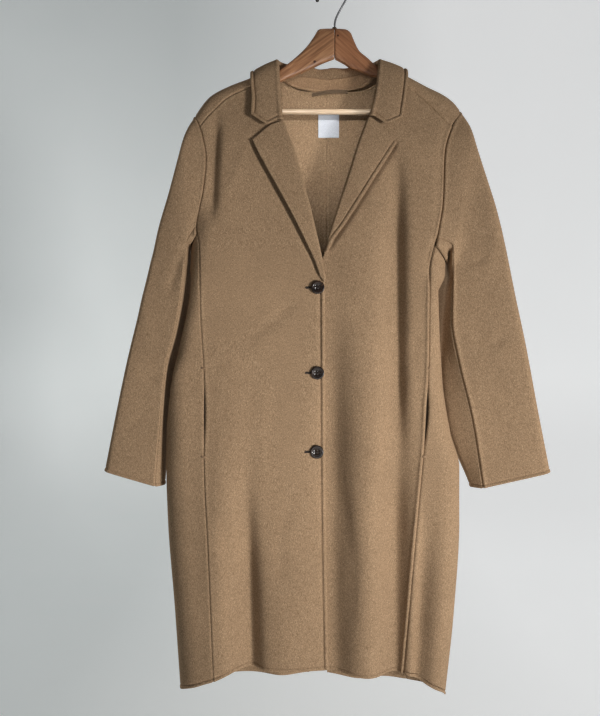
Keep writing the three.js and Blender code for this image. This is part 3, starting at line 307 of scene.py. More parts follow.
def fold_push(folds, x, z):
    """The sum of the folds' outward pushes at a place on one face."""
    total = np.zeros(np.broadcast(x, z).shape)
    for fold in folds:
        down = (fold.top - z) / (fold.top - fold.foot)
        away = x - mix(fold.top_x, fold.foot_x, down)
        width = np.where(away < 0, fold.to_right, fold.to_left)
        start = smooth((fold.top - z) / fold.swell)
        end = smooth((z - fold.foot) / fold.fade) if fold.fade else 1
        total = total + fold.push * start * end * bell(away / width)
    return total


def shoulder_z(side, x):
    """The height of the shoulder's top line."""
    return SHOULDER[side].z(np.abs(x))


def shoulder_depth(side, x, z):
    """How far the front and back stand apart below the shoulder's line: 0 on it, 1 clear of its round."""
    drop = shoulder_z(side, x) - z
    return np.sqrt(1 - (1 - clamp01(drop / SHOULDER_ROUND)) ** 2)


def face_sizes(side, z, behind):
    """One face at a height: its flat part, and the quarter turn to the side edge."""
    edge = np.abs(BODY.right(z) if side == RIGHT else BODY.left(z))
    turn_width = BODY.back_round(z) if behind else BODY.round(z)
    depth = BODY.back(z) - EDGE_Y if behind else EDGE_Y - BODY.front(z)
    flat = edge - turn_width
    turn = math.pi / 2 * np.sqrt((turn_width**2 + depth**2) / 2)
    return SimpleNamespace(width=turn_width, depth=depth, flat=flat, turn=turn, length=flat + turn)


def on_face(side, round_, z, behind):
    """A point of one face of the body; round_ is 0 at the centre and 1 at the side edge."""
    size = face_sizes(side, z, behind)
    along = round_ * size.length
    angle = clamp01((along - size.flat) / size.turn) * math.pi / 2
    x = side * (np.minimum(along, size.flat) + size.width * np.sin(angle))
    facing = np.cos(angle)
    grow = 1 if behind else -1
    folds = BACK_FOLDS if behind else FRONT_FOLDS
    push = fold_push(folds, x, z) * facing**2
    under = UNDERLAP * smooth((UNDERLAP_END - x) / UNDERLAP_FADE) if side == LEFT and not behind else 0
    full = EDGE_Y + grow * (size.depth * facing + push) + under
    y = mix(HANGER_PLANE_Y, full, shoulder_depth(side, x, z))
    return np.stack(np.broadcast_arrays(x, y, z), -1).astype(float)


def body_point(side, round_, z):
    """round_ runs 0 at the centre front, 1 at the side edge, 2 at the centre back."""
    front = on_face(side, np.minimum(round_, 1), z, False)
    back = on_face(side, 2 - np.maximum(round_, 1), z, True)
    return pick(np.asarray(round_) <= 1, front, back)


def round_at(side, x, z, behind=False):
    """How far round the body an x lies: 0 centre front, 1 side edge, 2 centre back."""
    size = face_sizes(side, z, behind)
    out = side * x
    angle = np.arcsin(clamp01((out - size.flat) / size.width))
    along = np.minimum(out, size.flat) + angle / (math.pi / 2) * size.turn
    return 2 - along / size.length if behind else along / size.length


def face_point(side, x, z):
    return on_face(side, round_at(side, x, z), z, False)


def back_point(side, x, z):
    return on_face(side, 2 - round_at(side, x, z, True), z, True)


def inner_x(side, z):
    return FRONT_INNER[side].x(z)


def outer_x(side, z):
    return FRONT_OUTER[side].x(z) - side * FRONT_OUTER[side].slit(z)


def side_front_x(side, z):
    return FRONT_OUTER[side].x(z) + side * FRONT_OUTER[side].slit(z)


def back_x(side, z):
    return BACK_OUTER[side].x(z)


SEAM_GUESS_Z, SEAM_ROUNDS = -238.0, 8


def shoulder_seam(side, share):
    """The shoulder seam's x and z, from the neck (0) to the armhole (1)."""
    z = np.full(np.shape(share), SEAM_GUESS_Z)
    x = z
    for _ in range(SEAM_ROUNDS):
        x = mix(inner_x(side, z), outer_x(side, z), share)
        z = shoulder_z(side, x) - SHOULDER[side].seam(np.abs(x))
    return x, z


HEM_LEVEL = -1260  # near the hem, where each column's place round the body is measured


def lower_z(side, round_, top, share):
    return mix(top, HEM[side].z(round_), share)


def front_point(side, u, v):
    """u from the front edge to the side-front seam; v 0 shoulder seam, 1 underarm, 2 hem."""
    _, top_z = shoulder_seam(side, u)
    hem_x = mix(inner_x(side, HEM_LEVEL), outer_x(side, HEM_LEVEL), u)
    upper = mix(top_z, UNDERARM[side], v)
    lower = lower_z(side, round_at(side, hem_x, HEM_LEVEL), UNDERARM[side], v - 1)
    z = np.where(v <= 1, upper, lower)
    return face_point(side, mix(inner_x(side, z), outer_x(side, z), u), z)


def side_point(side, u, v):
    """u from the side-front seam to the back's; v 0 at the armhole, 1 at the hem."""
    start = round_at(side, side_front_x(side, HEM_LEVEL), HEM_LEVEL)
    end = round_at(side, back_x(side, HEM_LEVEL), HEM_LEVEL, True)
    top = UNDERARM[side] - ARMHOLE_DROP * np.sin(np.pi * u)
    z = lower_z(side, mix(start, end, u), top, v)
    first = round_at(side, side_front_x(side, z), z)
    last = round_at(side, back_x(side, z), z, True)
    return body_point(side, mix(first, last, u), z)


TURN_LENGTH = math.pi / 2 * SHOULDER_ROUND


def length_at_drop(drop):
    """How much cloth turns over the shoulder's round by the time it has dropped this far."""
    turned = SHOULDER_ROUND * np.arccos(np.clip(1 - drop / SHOULDER_ROUND, -1, 1))
    return np.where(drop >= SHOULDER_ROUND, TURN_LENGTH + drop - SHOULDER_ROUND, turned)


def drop_at_length(length):
    turned = SHOULDER_ROUND * (1 - np.cos(np.minimum(length, TURN_LENGTH) / SHOULDER_ROUND))
    return np.where(length >= TURN_LENGTH, SHOULDER_ROUND + length - TURN_LENGTH, turned)


# Where v reaches the shoulder's top line, and the end of its round; how far the neckline's rim reaches.
SHOULDER_SHARE, TURN_SHARE, NECK_EDGE = 0.2, 0.42, 4


def back_panel_point(side, u, v):
    """u 0 armhole, 1 neck point, 2 centre back; v as in part.mjs: 0 shoulder seam, 1 underarm, 2 hem."""
    u, v = np.broadcast_arrays(u, v)
    top_x = back_x(side, -240)
    seam_x, seam_z = shoulder_seam(side, 1 - clamp01(u))
    neck_x = inner_x(side, SHOULDER[side].z(0) - 1)
    line_x = np.where(u <= 1, mix(top_x, neck_x, u), mix(neck_x, CENTRE_BACK_X, u - 1))
    share = (line_x - top_x) / (CENTRE_BACK_X - top_x)

    def x_at(z):
        return mix(back_x(side, z), CENTRE_BACK_X, share)

    # the lower block
    round_ = round_at(side, x_at(HEM_LEVEL), HEM_LEVEL, True)
    low_z = lower_z(side, round_, UNDERARM[side], np.maximum(v - 1, 0))
    low = back_point(side, x_at(low_z), low_z)
    # under the neckline
    neck_z = BACK_NECK.z(np.abs(line_x)) - NECK_EDGE * np.minimum(1, v / SHOULDER_SHARE)
    under_z = mix(neck_z, UNDERARM[side], clamp01((v - SHOULDER_SHARE) / (1 - SHOULDER_SHARE)))
    under = back_point(side, x_at(under_z), under_z)
    # in front of the shoulder's top line
    t = clamp01(v / SHOULDER_SHARE)
    drop = drop_at_length(length_at_drop(shoulder_z(side, seam_x) - seam_z) * (1 - t))
    near_z = shoulder_z(side, mix(seam_x, line_x, t)) - drop
    near_x = mix(outer_x(side, near_z), inner_x(side, near_z), clamp01(u))
    near = face_point(side, near_x, shoulder_z(side, near_x) - drop)
    # turning down behind it
    top = shoulder_z(side, line_x)
    turned = TURN_LENGTH * clamp01((v - SHOULDER_SHARE) / (TURN_SHARE - SHOULDER_SHARE))
    down = clamp01((v - TURN_SHARE) / (1 - TURN_SHARE))
    lower = mix(top - SHOULDER_ROUND, UNDERARM[side], down)
    behind_z = np.where(v <= TURN_SHARE, top - drop_at_length(turned), lower)
    behind = back_point(side, x_at(behind_z), behind_z)
    upper = pick(u > 1, under, pick(v <= SHOULDER_SHARE, near, behind))
    return pick(v >= 1, low, upper)


# ---- lapels, collar, sleeves

LAPEL_NOTCH, COLLAR_NOTCH, NOTCH_PEAK = 6, 13, 0.4  # depths, and where along an edge they are deepest
COLLAR_NOTCH_START, COLLAR_NOTCH_REACH = 0.82, 0.18
LAPEL_EDGE_LIFT = 8.6  # how far the lapel's edge stands off the front
ROLL_SHARE = 0.3
FOLD_START, FOLD_END = 0.25, 0.5  # where the collar's fall rolls over, as shares of its breadth


def notch_bump(share):
    """How much of a notch's depth shows at a share of its edge."""
    return np.where(share < NOTCH_PEAK, share / NOTCH_PEAK, (1 - share) / (1 - NOTCH_PEAK))


def lapel_point(side, u, v):
    """u 0 at the roll line, 1 at the lapel's edge; v 0 at the gorge, 1 at the break."""
    row = LAPEL[side]
    radius, roll_z = row.roll(v), row.roll_z(v)
    roll_x = inner_x(side, roll_z)
    angle = clamp01(u / ROLL_SHARE) * math.pi
    share = clamp01((u - ROLL_SHARE) / (1 - ROLL_SHARE))
    x = mix(roll_x, row.edge_x(v), share) - side * radius * np.sin(angle)
    notch = LAPEL_NOTCH * notch_bump(share) * clamp01(1 - 4 * v)
    z = mix(roll_z, row.edge_z(v), share) + notch
    over = radius * (1 - np.cos(angle))
    lift = mix(over, np.minimum(LAPEL_EDGE_LIFT, over), smooth(share))
    base = face_point(side, x, z)
    base[..., 1] -= lift
    return base


def unit(vectors):
    return vectors / np.maximum(np.linalg.norm(vectors, axis=-1, keepdims=True), 1e-9)


def collar_line(line, q):
    """One line of the collar; q runs from -1, the right end, to 1, the left end."""
    turn = 1 - np.abs(q)
    ends = []
    for side in SIDES:
        at = COLLAR[side]
        ends.append(np.stack([getattr(at, f"{line}_{axis}")(turn) for axis in "xyz"], -1))
    return pick(q < 0, *ends)


def dot(a, b):
    return (a * b).sum(-1, keepdims=True)


def collar_frame(q):
    """The collar's lines at q, the way its fold points, and the way across the fold."""
    fold, edge, neck = (collar_line(line, q) for line in ("fold", "edge", "neck"))
    inward, outward = unit(neck - fold), unit(edge - fold)
    crest = -unit(inward + outward)
    across = outward - inward
    across = unit(across - crest * dot(across, crest))
    seam = mix(fold, neck, COLLAR_INNER_SHARE)
    return SimpleNamespace(fold=fold, edge=edge, neck=neck, crest=crest, across=across, seam=seam)


FALL_CROWN = 1.6


def fall_point(q, v):
    """v 0 at the seam with the stand, over the fold, to 1 at the collar's outer edge."""
    q, v = np.broadcast_arrays(q, v)
    at = collar_frame(q)
    v = v[..., None]
    centre = at.fold - at.crest * COLLAR_ROLL

    def on_roll(angle):
        return centre - at.across * COLLAR_ROLL * np.cos(angle) + at.crest * COLLAR_ROLL * np.sin(angle)

    inside = mix(at.seam, on_roll(np.zeros_like(v)), clamp01(v / FOLD_START))
    rolled = on_roll(clamp01((v - FOLD_START) / (FOLD_END - FOLD_START)) * math.pi)
    share = clamp01((v - FOLD_END) / (1 - FOLD_END))
    fallen = mix(on_roll(np.full_like(v, math.pi)), at.edge, share)
    fallen = fallen + at.across * FALL_CROWN * np.sin(math.pi * share)
    end = clamp01((np.abs(q) - COLLAR_NOTCH_START) / COLLAR_NOTCH_REACH)
    fallen[..., 2] -= COLLAR_NOTCH * notch_bump(share[..., 0]) * end
    return np.where(v < FOLD_START, inside, np.where(v < FOLD_END, rolled, fallen))


def stand_point(q, v):
    """v 0 at the neck seam, 1 at the seam with the fall."""
    q, v = np.broadcast_arrays(q, v)
    at = collar_frame(q)
    return mix(at.neck, at.seam, v[..., None])


def sleeve_section(side, turn, level):
    """turn 0 outer edge, through the front, 1 inner edge, and on through the back."""
    row, line = SLEEVE[side], SLEEVE_OUTLINE
    wrapped = np.mod(turn + 2, 2)
    out, ridge = line.out(wrapped), line.ridge(wrapped)
    edges = row.out_x(level) * out + row.ridge_x(level) * ridge + row.in_x(level) * (1 - out - ridge)
    x = edges - side * row.tuck(level) * line.tuck(wrapped)
    z = mix(row.in_z(level), row.out_z(level), out)
    y = row.mid_y(level) - row.depth(level) * line.front(wrapped)
    y = y - SLEEVE_TILT[side] * smooth((level - 1) / 2) * (out - 0.5)
    return np.stack(np.broadcast_arrays(x, y, z), -1)


def armhole_point(side, turn):
    """A point of the armhole, by the turn round the sleeve that is set into it."""
    wrapped = np.mod(turn + 2, 2)
    share = ARMHOLE_FRONT_SHARE
    full = 1 - math.cos(math.pi * share)
    top = shoulder_z(side, FRONT_OUTER[side].x(0))

    def height(part):
        return mix(top, UNDERARM[side], (1 - np.cos(math.pi * share * clamp01(part))) / full)

    front_z, back_z = height(wrapped / share), height((2 - wrapped) / share)
    front = face_point(side, FRONT_OUTER[side].x(front_z), front_z)
    back = back_point(side, back_x(side, back_z), back_z)
    across = clamp01((wrapped - share) / (2 - 2 * share))
    under = side_point(side, across, np.zeros_like(across))
    return pick(wrapped >= 2 - share, back, pick(wrapped <= share, front, under))


HEAD_ROUND = np.array([9.0, 5.0, 4.0])  # how far the sleeve's head swells out of the armhole
UNDER_START, UNDER_SPAN = 0.66, 0.68  # the turns that lie under the arm


def sleeve_point(side, turn, level):
    """level 0 at the armhole, 1 just below the shoulder, 8 at the cuff."""
    turn, level = np.broadcast_arrays(turn, level)
    below = sleeve_section(side, turn, np.maximum(level, 1))
    first = sleeve_section(side, turn, np.ones_like(turn))
    slope = (sleeve_section(side, turn, np.full_like(turn, 1.05)) - first) / 0.05
    wrapped = np.mod(turn + 2, 2)
    under = np.sin(np.pi * clamp01((wrapped - UNDER_START) / UNDER_SPAN)) ** 2
    start = armhole_point(side, turn)
    start[..., 0] += side * mix(HEAD_START, UNDERARM_OUT, under)
    face = np.sin(np.pi * wrapped)
    swell = np.stack([side * (1 - under), -face, 1 - under], -1) * HEAD_ROUND
    leave = (first - start) + swell
    t = clamp01(level)[..., None]
    head = (
        start * (2 * t**3 - 3 * t**2 + 1)
        + leave * (t**3 - 2 * t**2 + t)
        + first * (3 * t**2 - 2 * t**3)
        + slope * (t**3 - t**2)
    )
    return pick(level >= 1, below, head)


# ---- meshes


def normals(grid):
    return unit(np.cross(np.gradient(grid, axis=0), np.gradient(grid, axis=1)))


FINE_GAP, FINE_REACH = 1.1, 8.8
BOTH_ENDS, HEAD_ONLY, TAIL_ONLY = (True, True), (True, False), (False, True)


def spread(length, step, ends=BOTH_ENDS):
    """Shares from 0 to 1 along a length in millimetres, closer together near chosen ends."""
    step, near = step * COARSE, np.arange(0, FINE_REACH, FINE_GAP * COARSE)
    head = near if ends[0] else np.array([0.0])
    tail = length - (near if ends[1] else np.array([0.0]))[::-1]
    count = max(2, int(round((tail[0] - head[-1]) / step)))
    middle = np.linspace(head[-1], tail[0], count + 1)[1:-1]
    return np.concatenate([head, middle, tail]) / length


def lengths(grid, axis):
    """Millimetres of cloth from each point to the two ends of its row, along one axis."""
    step = np.linalg.norm(np.diff(grid, axis=axis), axis=-1)
    step = np.insert(step, 0, 0, axis=axis)
    first = np.cumsum(step, axis=axis)
    return first, np.take(first, [-1], axis=axis) - first


def all_lengths(grid):
    """The same to all four edges: the two ends of the first axis, then those of the second."""
    return (*lengths(grid, 0), *lengths(grid, 1))


def nearest(*distances):
    return np.minimum.reduce(distances)


def make_mesh(name, points, faces, smooth_shaded=True):
    mesh = bpy.data.meshes.new(name)
    mesh.from_pydata((np.asarray(points) * MM).tolist(), [], [tuple(face) for face in faces])
    mesh.polygons.foreach_set("use_smooth", [smooth_shaded] * len(mesh.polygons))
    mesh.update()
    piece = bpy.data.objects.new(name, mesh)
    bpy.context.scene.collection.objects.link(piece)
    return piece


RIM_ANGLES = [math.radians(angle) for angle in (35, 90, 145)]


def shell(name, grid, wall):
    """A closed cloth wall with rounded edges on a grid of its middle surface.

    wall is its thickness, one number or one for each point of the grid.
    """
    facing = normals(grid)
    across, along = grid.shape[:2]
    half = np.broadcast_to(np.asarray(wall, float) / 2, (across, along)).reshape(-1, 1)
    at = np.arange(across * along).reshape(across, along)
    quads = np.stack([at[:-1, :-1], at[1:, :-1], at[1:, 1:], at[:-1, 1:]], -1).reshape(-1, 4)
    ring = np.concatenate([at[:-1, 0], at[-1, :-1], at[:0:-1, -1], at[0, :0:-1]])
    flat, flat_facing = grid.reshape(-1, 3), facing.reshape(-1, 3)
    edge, edge_facing, edge_half = flat[ring], flat_facing[ring], half[ring]
    direction = np.roll(edge, -1, 0) - np.roll(edge, 1, 0)
    outward = unit(np.cross(direction, edge_facing))
    layers = [flat + flat_facing * half, flat - flat_facing * half]
    for angle in RIM_ANGLES:
        round_way = edge_facing * math.cos(angle) + outward * math.sin(angle)
        layers.append(edge + round_way * edge_half)
    count = across * along
    faces = [quads, quads[:, ::-1] + count]
    starts = [ring] + [2 * count + k * len(ring) + np.arange(len(ring)) for k in range(len(RIM_ANGLES))]
    starts.append(ring + count)
    for upper, lower in zip(starts, starts[1:]):
        faces.append(np.stack([np.roll(upper, -1), upper, lower, np.roll(lower, -1)], -1))
    return make_mesh(name, np.concatenate(layers), np.concatenate(faces).tolist())


def groove(distance, depth, width):
    """A soft groove along a line, as outward push."""
    return -depth * bell(distance / width)


# Bands of turned-in cloth: how wide, how far raised, how softly that ends, and the groove beside them.
EDGE_BAND, EDGE_RAISE, EDGE_SOFT, EDGE_GROOVE = 5.2, 1.2, 2.0, (1.7, 1.4)
LIP_BAND, LIP_RAISE, LIP_SOFT, LIP_GROOVE = 6.4, 2.4, 1.8, (1.5, 1.7)
LIP_FALL, LIP_START = 7, 0.25  # how far in the lip has risen to its height, and where its rise starts
HEM_BAND, HEM_RAISE, HEM_SOFT, HEM_GROOVE = 4.4, 0.9, 1.6, (1.1, 1.3)
SEAM_GROOVE, RIDGE_OFF, RIDGE_WIDTH = (1.1, 1.4), 3.6, 2.4


def finished_edge(distance):
    """A turned and stitched edge: a slightly raised band, and the cloth sinking at its stitching."""
    raised = EDGE_RAISE * smooth((EDGE_BAND - distance) / EDGE_SOFT)
    return raised + groove(distance - EDGE_BAND, *EDGE_GROOVE)


def front_lip(distance):
    """The fronts' edge: a line of stitching, and outside it a lip that falls away to the edge."""
    raised = LIP_RAISE * smooth((LIP_BAND - distance) / LIP_SOFT) * smooth(distance / LIP_FALL + LIP_START)
    return raised + groove(distance - LIP_BAND - 0.2, *LIP_GROOVE)


def turned_edge(distance):
    """A hem or cuff: the cloth turned in, with a proud lip and a line of stitching close by."""
    raised = HEM_RAISE * smooth((HEM_BAND - distance) / HEM_SOFT)
    return raised + groove(distance - HEM_BAND - 0.4, *HEM_GROOVE)


def seam_edge(distance, ridge=0.5):
    """A pressed seam: sunk at the join, with a soft ridge of turned-in cloth beside it."""
    return groove(distance, *SEAM_GROOVE) + ridge * bell((distance - RIDGE_OFF) / RIDGE_WIDTH)


def thinned(distance, least, width=1.5):
    """The wall's thickness where a seam or a line of stitching pulls it together."""
    return WALL - (WALL - least) * bell(distance / width)


def creased(grid, creases):
    """Outward push of listed creases, each along a line of (x, z) points."""
    x, z = grid[..., 0], grid[..., 2]
    total = np.zeros(np.shape(x))
    for push, width, fade, points in creases:
        spans = np.linalg.norm(np.diff(points, axis=0), axis=1)
        starts = np.concatenate([[0], np.cumsum(spans)])
        best = np.full(np.shape(x), 1e9)
        where = np.zeros(np.shape(x))
        for k, span in enumerate(spans):
            (ax, az), (bx, bz) = points[k], points[k + 1]
            t = clamp01(((x - ax) * (bx - ax) + (z - az) * (bz - az)) / span**2)
            gap = np.hypot(x - mix(ax, bx, t), z - mix(az, bz, t))
            nearer = gap < best
            best, where = np.where(nearer, gap, best), np.where(nearer, starts[k] + t * span, where)
        taper = smooth(where / fade) * smooth((starts[-1] - where) / fade)
        total += push * taper * bell(best / width)
    return total


# ---- materials


def node_material(name, metallic=0.0, roughness=0.5, **sockets):
    """A material with values on its shader's own sockets."""
    material = bpy.data.materials.new(name)
    material.use_nodes = True
    tree = material.node_tree
    shader = tree.nodes["Principled BSDF"]
    shader.inputs["Metallic"].default_value = metallic
    shader.inputs["Roughness"].default_value = roughness
    for socket, value in sockets.items():
        shader.inputs[socket.replace("_", " ")].default_value = value
    return material, tree, shader


def linear(colour):
    """A colour given as 0-255 screen values, or one number that stands for an even grey factor."""
    if not isinstance(colour, tuple):
        return (colour, colour, colour, 1.0)
    parts = [c / 255 for c in colour]
    return tuple(c / 12.92 if c <= 0.04045 else ((c + 0.055) / 1.055) ** 2.4 for c in parts) + (1.0,)


def add(tree, kind, **settings):
    node = tree.nodes.new(kind)
    for key, value in settings.items():
        if key in node.inputs:
            node.inputs[key].default_value = value
        else:
            setattr(node, key, value)
    return node


def object_coordinates(tree, scale, turn=0.0):
    """The row frame's coordinates, turned about Y and then stretched."""
    vector = tree.nodes.new("ShaderNodeTexCoord").outputs["Object"]
    for setting, value in (("Rotation", (0, turn, 0)), ("Scale", scale)):
        mapping = tree.nodes.new("ShaderNodeMapping")
        mapping.inputs[setting].default_value = value
        tree.links.new(vector, mapping.inputs["Vector"])
        vector = mapping.outputs["Vector"]
    return vector


def noise(tree, scale, detail=3.0, stretch=(1, 1, 1), roughness=0.6, turn=0.0):
    node = add(tree, "ShaderNodeTexNoise", Scale=scale, Detail=detail, Roughness=roughness)
    tree.links.new(object_coordinates(tree, stretch, turn), node.inputs["Vector"])
    return node.outputs["Fac"]


def ramp(tree, factor, *stops):
    node = tree.nodes.new("ShaderNodeValToRGB")
    elements = node.color_ramp.elements
    while len(elements) < len(stops):
        elements.new(0.5)
    for element, (position, colour) in zip(elements, stops):
        element.position = position
        element.color = linear(colour)
    tree.links.new(factor, node.inputs["Fac"])
    return node.outputs["Color"]


def multiplied(tree, first, second):
    """Two colours multiplied."""
    node = add(tree, "ShaderNodeMix", data_type="RGBA", blend_type="MULTIPLY")
    node.inputs[0].default_value = 1.0
    tree.links.new(first, node.inputs[6])
    tree.links.new(second, node.inputs[7])
    return node.outputs[2]


def bumped(tree, shader, *layers):
    """Bump from several height fields, each with its depth in millimetres."""
    normal = None
    for height, depth in layers:
        node = add(tree, "ShaderNodeBump", Strength=1.0, Distance=depth * MM)
        tree.links.new(height, node.inputs["Height"])
        if normal is not None:
            tree.links.new(normal, node.inputs["Normal"])
        normal = node.outputs["Normal"]
    tree.links.new(normal, shader.inputs["Normal"])


SHEEN_TINT = (214, 178, 140)


def coloured(tree, shader, colour, *heights):
    """Gives a shader its colour and its bump."""
    tree.links.new(colour, shader.inputs["Base Color"])
    bumped(tree, shader, *heights)


def wool_material(name, base, deep, pale):
    """Heathered, brushed wool: mixed fibres, a faint nap downwards and a soft sheen."""
    material, tree, shader = node_material(
        name, roughness=0.95, Specular_IOR_Level=0.12, Sheen_Weight=0.12, Sheen_Roughness=0.5
    )
    shader.inputs["Sheen Tint"].default_value = linear(SHEEN_TINT)
    fibre = ramp(tree, noise(tree, 1100, 4.0, (1, 1, 0.4)), (0.28, deep), (0.52, base), (0.76, pale))
    flecks = ramp(tree, noise(tree, 420, 2.0, (1, 1, 0.55)), (0.34, 0.88), (0.66, 1.07))
    patches = ramp(tree, noise(tree, 9, 3.0), (0.35, 0.94), (0.65, 1.04))
    colour = multiplied(tree, multiplied(tree, fibre, flecks), patches)
    soft, nap = noise(tree, 38, 3.0, (1, 1, 0.5)), noise(tree, 420, 4.0, (1, 1, 0.45))
    coloured(tree, shader, colour, (soft, 0.9), (nap, 0.3), (noise(tree, 1300, 2.0), 0.12))
    return material


WOOL = wool_material("camel_wool", (146, 120, 93), (102, 80, 58), (183, 157, 127))
WOOL_UNDER = wool_material("camel_wool_inner", (146, 117, 89), (114, 89, 65), (172, 143, 113))


def thin_cloth_material(name, base, dark):
    material, tree, shader = node_material(name, roughness=0.85, Sheen_Weight=0.1)
    weave = noise(tree, 1500, 1.0)
    coloured(tree, shader, ramp(tree, weave, (0.35, dark), (0.65, base)), (weave, 0.15))
    return material


LABEL_CLOTH = thin_cloth_material("label_satin", (205, 208, 214), (178, 182, 190))
LOOP_TAPE = thin_cloth_material("loop_tape", (108, 86, 60), (70, 54, 38))
POCKETING = thin_cloth_material("pocketing", (96, 78, 60), (72, 57, 43))
THREAD = thin_cloth_material("wool_thread", (146, 116, 86), (116, 90, 65))
DARK_THREAD = thin_cloth_material("button_thread", (58, 44, 34), (36, 27, 21))
# painted shade: a near-black cloth for the tubes that stand in for the dark inside of the buttonhole slits
SLIT_SHADE = thin_cloth_material("buttonhole_painted_shade", (34, 26, 20), (22, 17, 13))


def spot(tree, place, radius, inside, outside):
    """A colour factor that changes around one place of the row frame, in millimetres."""
    away = add(tree, "ShaderNodeVectorMath", operation="DISTANCE")
    away.inputs[1].default_value = [value * MM for value in place]
    tree.links.new(object_coordinates(tree, (1, 1, 1)), away.inputs[0])
    scaled = add(tree, "ShaderNodeMath", operation="DIVIDE")
    scaled.inputs[1].default_value = radius * MM
    tree.links.new(away.outputs["Value"], scaled.inputs[0])
    return ramp(tree, scaled.outputs[0], (0.45, inside), (1.0, outside))


def wood_material(name, turn, base, dark, pale, knots=(), gloss=0.2):
    """Planed wood with its grain along one direction, given as a turn about Y."""
    material, tree, shader = node_material(name, roughness=0.45, Coat_Weight=gloss, Coat_Roughness=0.35)
    lines = noise(tree, 260, 5.0, (0.05, 1, 1), 0.65, turn)
    bands = noise(tree, 60, 2.0, (0.08, 1, 1), 0.5, turn)
    colour = ramp(tree, lines, (0.3, dark), (0.5, base), (0.7, pale))
    colour = multiplied(tree, colour, ramp(tree, bands, (0.35, 0.8), (0.65, 1.12)))
    for place, radius in knots:
        colour = multiplied(tree, colour, spot(tree, place, radius, KNOT_BROWN, 1.0))
    coloured(tree, shader, colour, (lines, 0.12))
    return material


NOSE_KNOT = ((11, -7, -113), 2.6)
RIGHT_GRAIN, LEFT_GRAIN = math.radians(36), math.radians(-42)
RIGHT_WOOD = ((160, 113, 78), (118, 78, 49), (192, 144, 102))  # base, dark and pale
LEFT_WOOD = ((156, 105, 71), (118, 74, 47), (180, 129, 91))
KNOT_BROWN = (88, 48, 26)
ARM_WOOD = {
    RIGHT: wood_material("hanger_wood_right", RIGHT_GRAIN, *RIGHT_WOOD, (((-31, -7, -160), 3.4), NOSE_KNOT)),
    LEFT: wood_material("hanger_wood_left", LEFT_GRAIN, *LEFT_WOOD, (NOSE_KNOT,)),
}
PALE_WOOD = ((205, 178, 148), (180, 150, 118), (222, 200, 172))
DOWEL_WOOD = wood_material("dowel_wood", 0.0, *PALE_WOOD, gloss=0.05)


def horn_material():
    material, tree, shader = node_material(
        "dark_horn", roughness=0.26, Specular_IOR_Level=0.4, Coat_Weight=0.25, Coat_Roughness=0.1
    )
    streaks = noise(tree, 190, 4.0, (0.35, 1, 1), 0.6, 0.6)
    colour = ramp(tree, streaks, (0.35, (20, 14, 11)), (0.6, (40, 28, 21)), (0.8, (82, 58, 40)))
    coloured(tree, shader, colour, (noise(tree, 900, 2.0), 0.02))
    return material


def metal_material(name, tint, dull, roughness):
    material, tree, shader = node_material(name, metallic=1.0, roughness=roughness)
    colour = ramp(tree, noise(tree, 90, 3.0), (0.35, dull), (0.65, tint))
    coloured(tree, shader, colour, (noise(tree, 700, 2.0), 0.015))
    return material


HORN = horn_material()
CHROME = metal_material("hook_chrome", 0.92, 0.76, 0.26)
TIP_METAL = metal_material("hook_tip", (88, 86, 84), (60, 58, 56), 0.35)
SCREW_METAL = metal_material("screw_steel", (96, 84, 72), (60, 50, 42), 0.5)

# ---- pieces


def dress(piece, nodes, material):
    """What every new piece needs: its material, its body and the solids it stands for."""
    piece.data.materials.append(material)
    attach(piece, "root")
    if nodes:
        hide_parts(*nodes)
    return piece


def threads(name, parts, material=THREAD):
    """Small threads that stand for no solid of their own, as one mesh."""
    # A cloth piece in place of its solid.
    dress(make_mesh(name, *merged(parts)), [], material)


def cloth(node, grid, wall=WALL, material=WOOL):
    """A cloth piece in place of its solid, declared as the sheet it was cut from."""
    piece = dress(shell(f"cloth_{node}", grid, wall), [node], material)
    return piece


def pushed(grid, amount, outward=1):
    """The grid moved outward, where outward tells which way its normals point."""
    return grid + outward * normals(grid) * amount[..., None]


def grid_of(at, side, us, vs):
    return at(side, us[:, None], vs[None, :])


def joined(*parts):
    """Shares of several blocks in a row, each block counting one."""
    return np.concatenate([parts[0]] + [part[1:] + k for k, part in enumerate(parts[1:], 1)])


LAPEL_STITCHING = {RIGHT: 0.15, LEFT: 1.0}  # how strongly its edge is marked by stitching
LAPEL_SHADE, SHADE_OFF, SHADE_WIDTH, SHADE_FADE = 5.0, 1.5, 3.6, 12  # the front sinks beyond its edge
GORGE_SHARE, GORGE_RISE = 0.45, 14


def under_lapel(side, grid):
    """The front sinks in along the lapel's outer edge, and along the collar's, which lie over it."""
    row, levels = LAPEL[side], np.linspace(0, 1, 12)
    edge = np.stack([row.edge_x(levels) + side * SHADE_OFF, row.edge_z(levels)], -1)
    edge = np.concatenate([[lapel_corner(side)], edge])
    return creased(grid, [(-LAPEL_SHADE, SHADE_WIDTH, SHADE_FADE, edge)])


def lapel_corner(side):
    """Where the gorge meets the lapel's top edge, on the front."""
    row = LAPEL[side]
    x = mix(inner_x(side, row.roll_z(0)), row.edge_x(0), GORGE_SHARE)
    return np.array([x, row.edge_z(0) + GORGE_RISE])


# The line on the side panels beside the hanging sleeves, beyond which they fall back.
RECESS_EDGE = two_tables("z x", """
    -440 -231 | -500 180
    -498 -243 | -588 183
    -560 -247 | -660 188
    -612 -254 | -727 197
    -673 -268 | -790 205
    -770 -287 | -831 213
    -860 -296 | -900 230
""")
RECESS = {RIGHT: (-13, -535, -770), LEFT: (-13, -545, -840)}  # push, and the levels where it fades
RECESS_SOFT, RECESS_TOP_FADE, RECESS_FOOT_FADE = 12, 40, 60


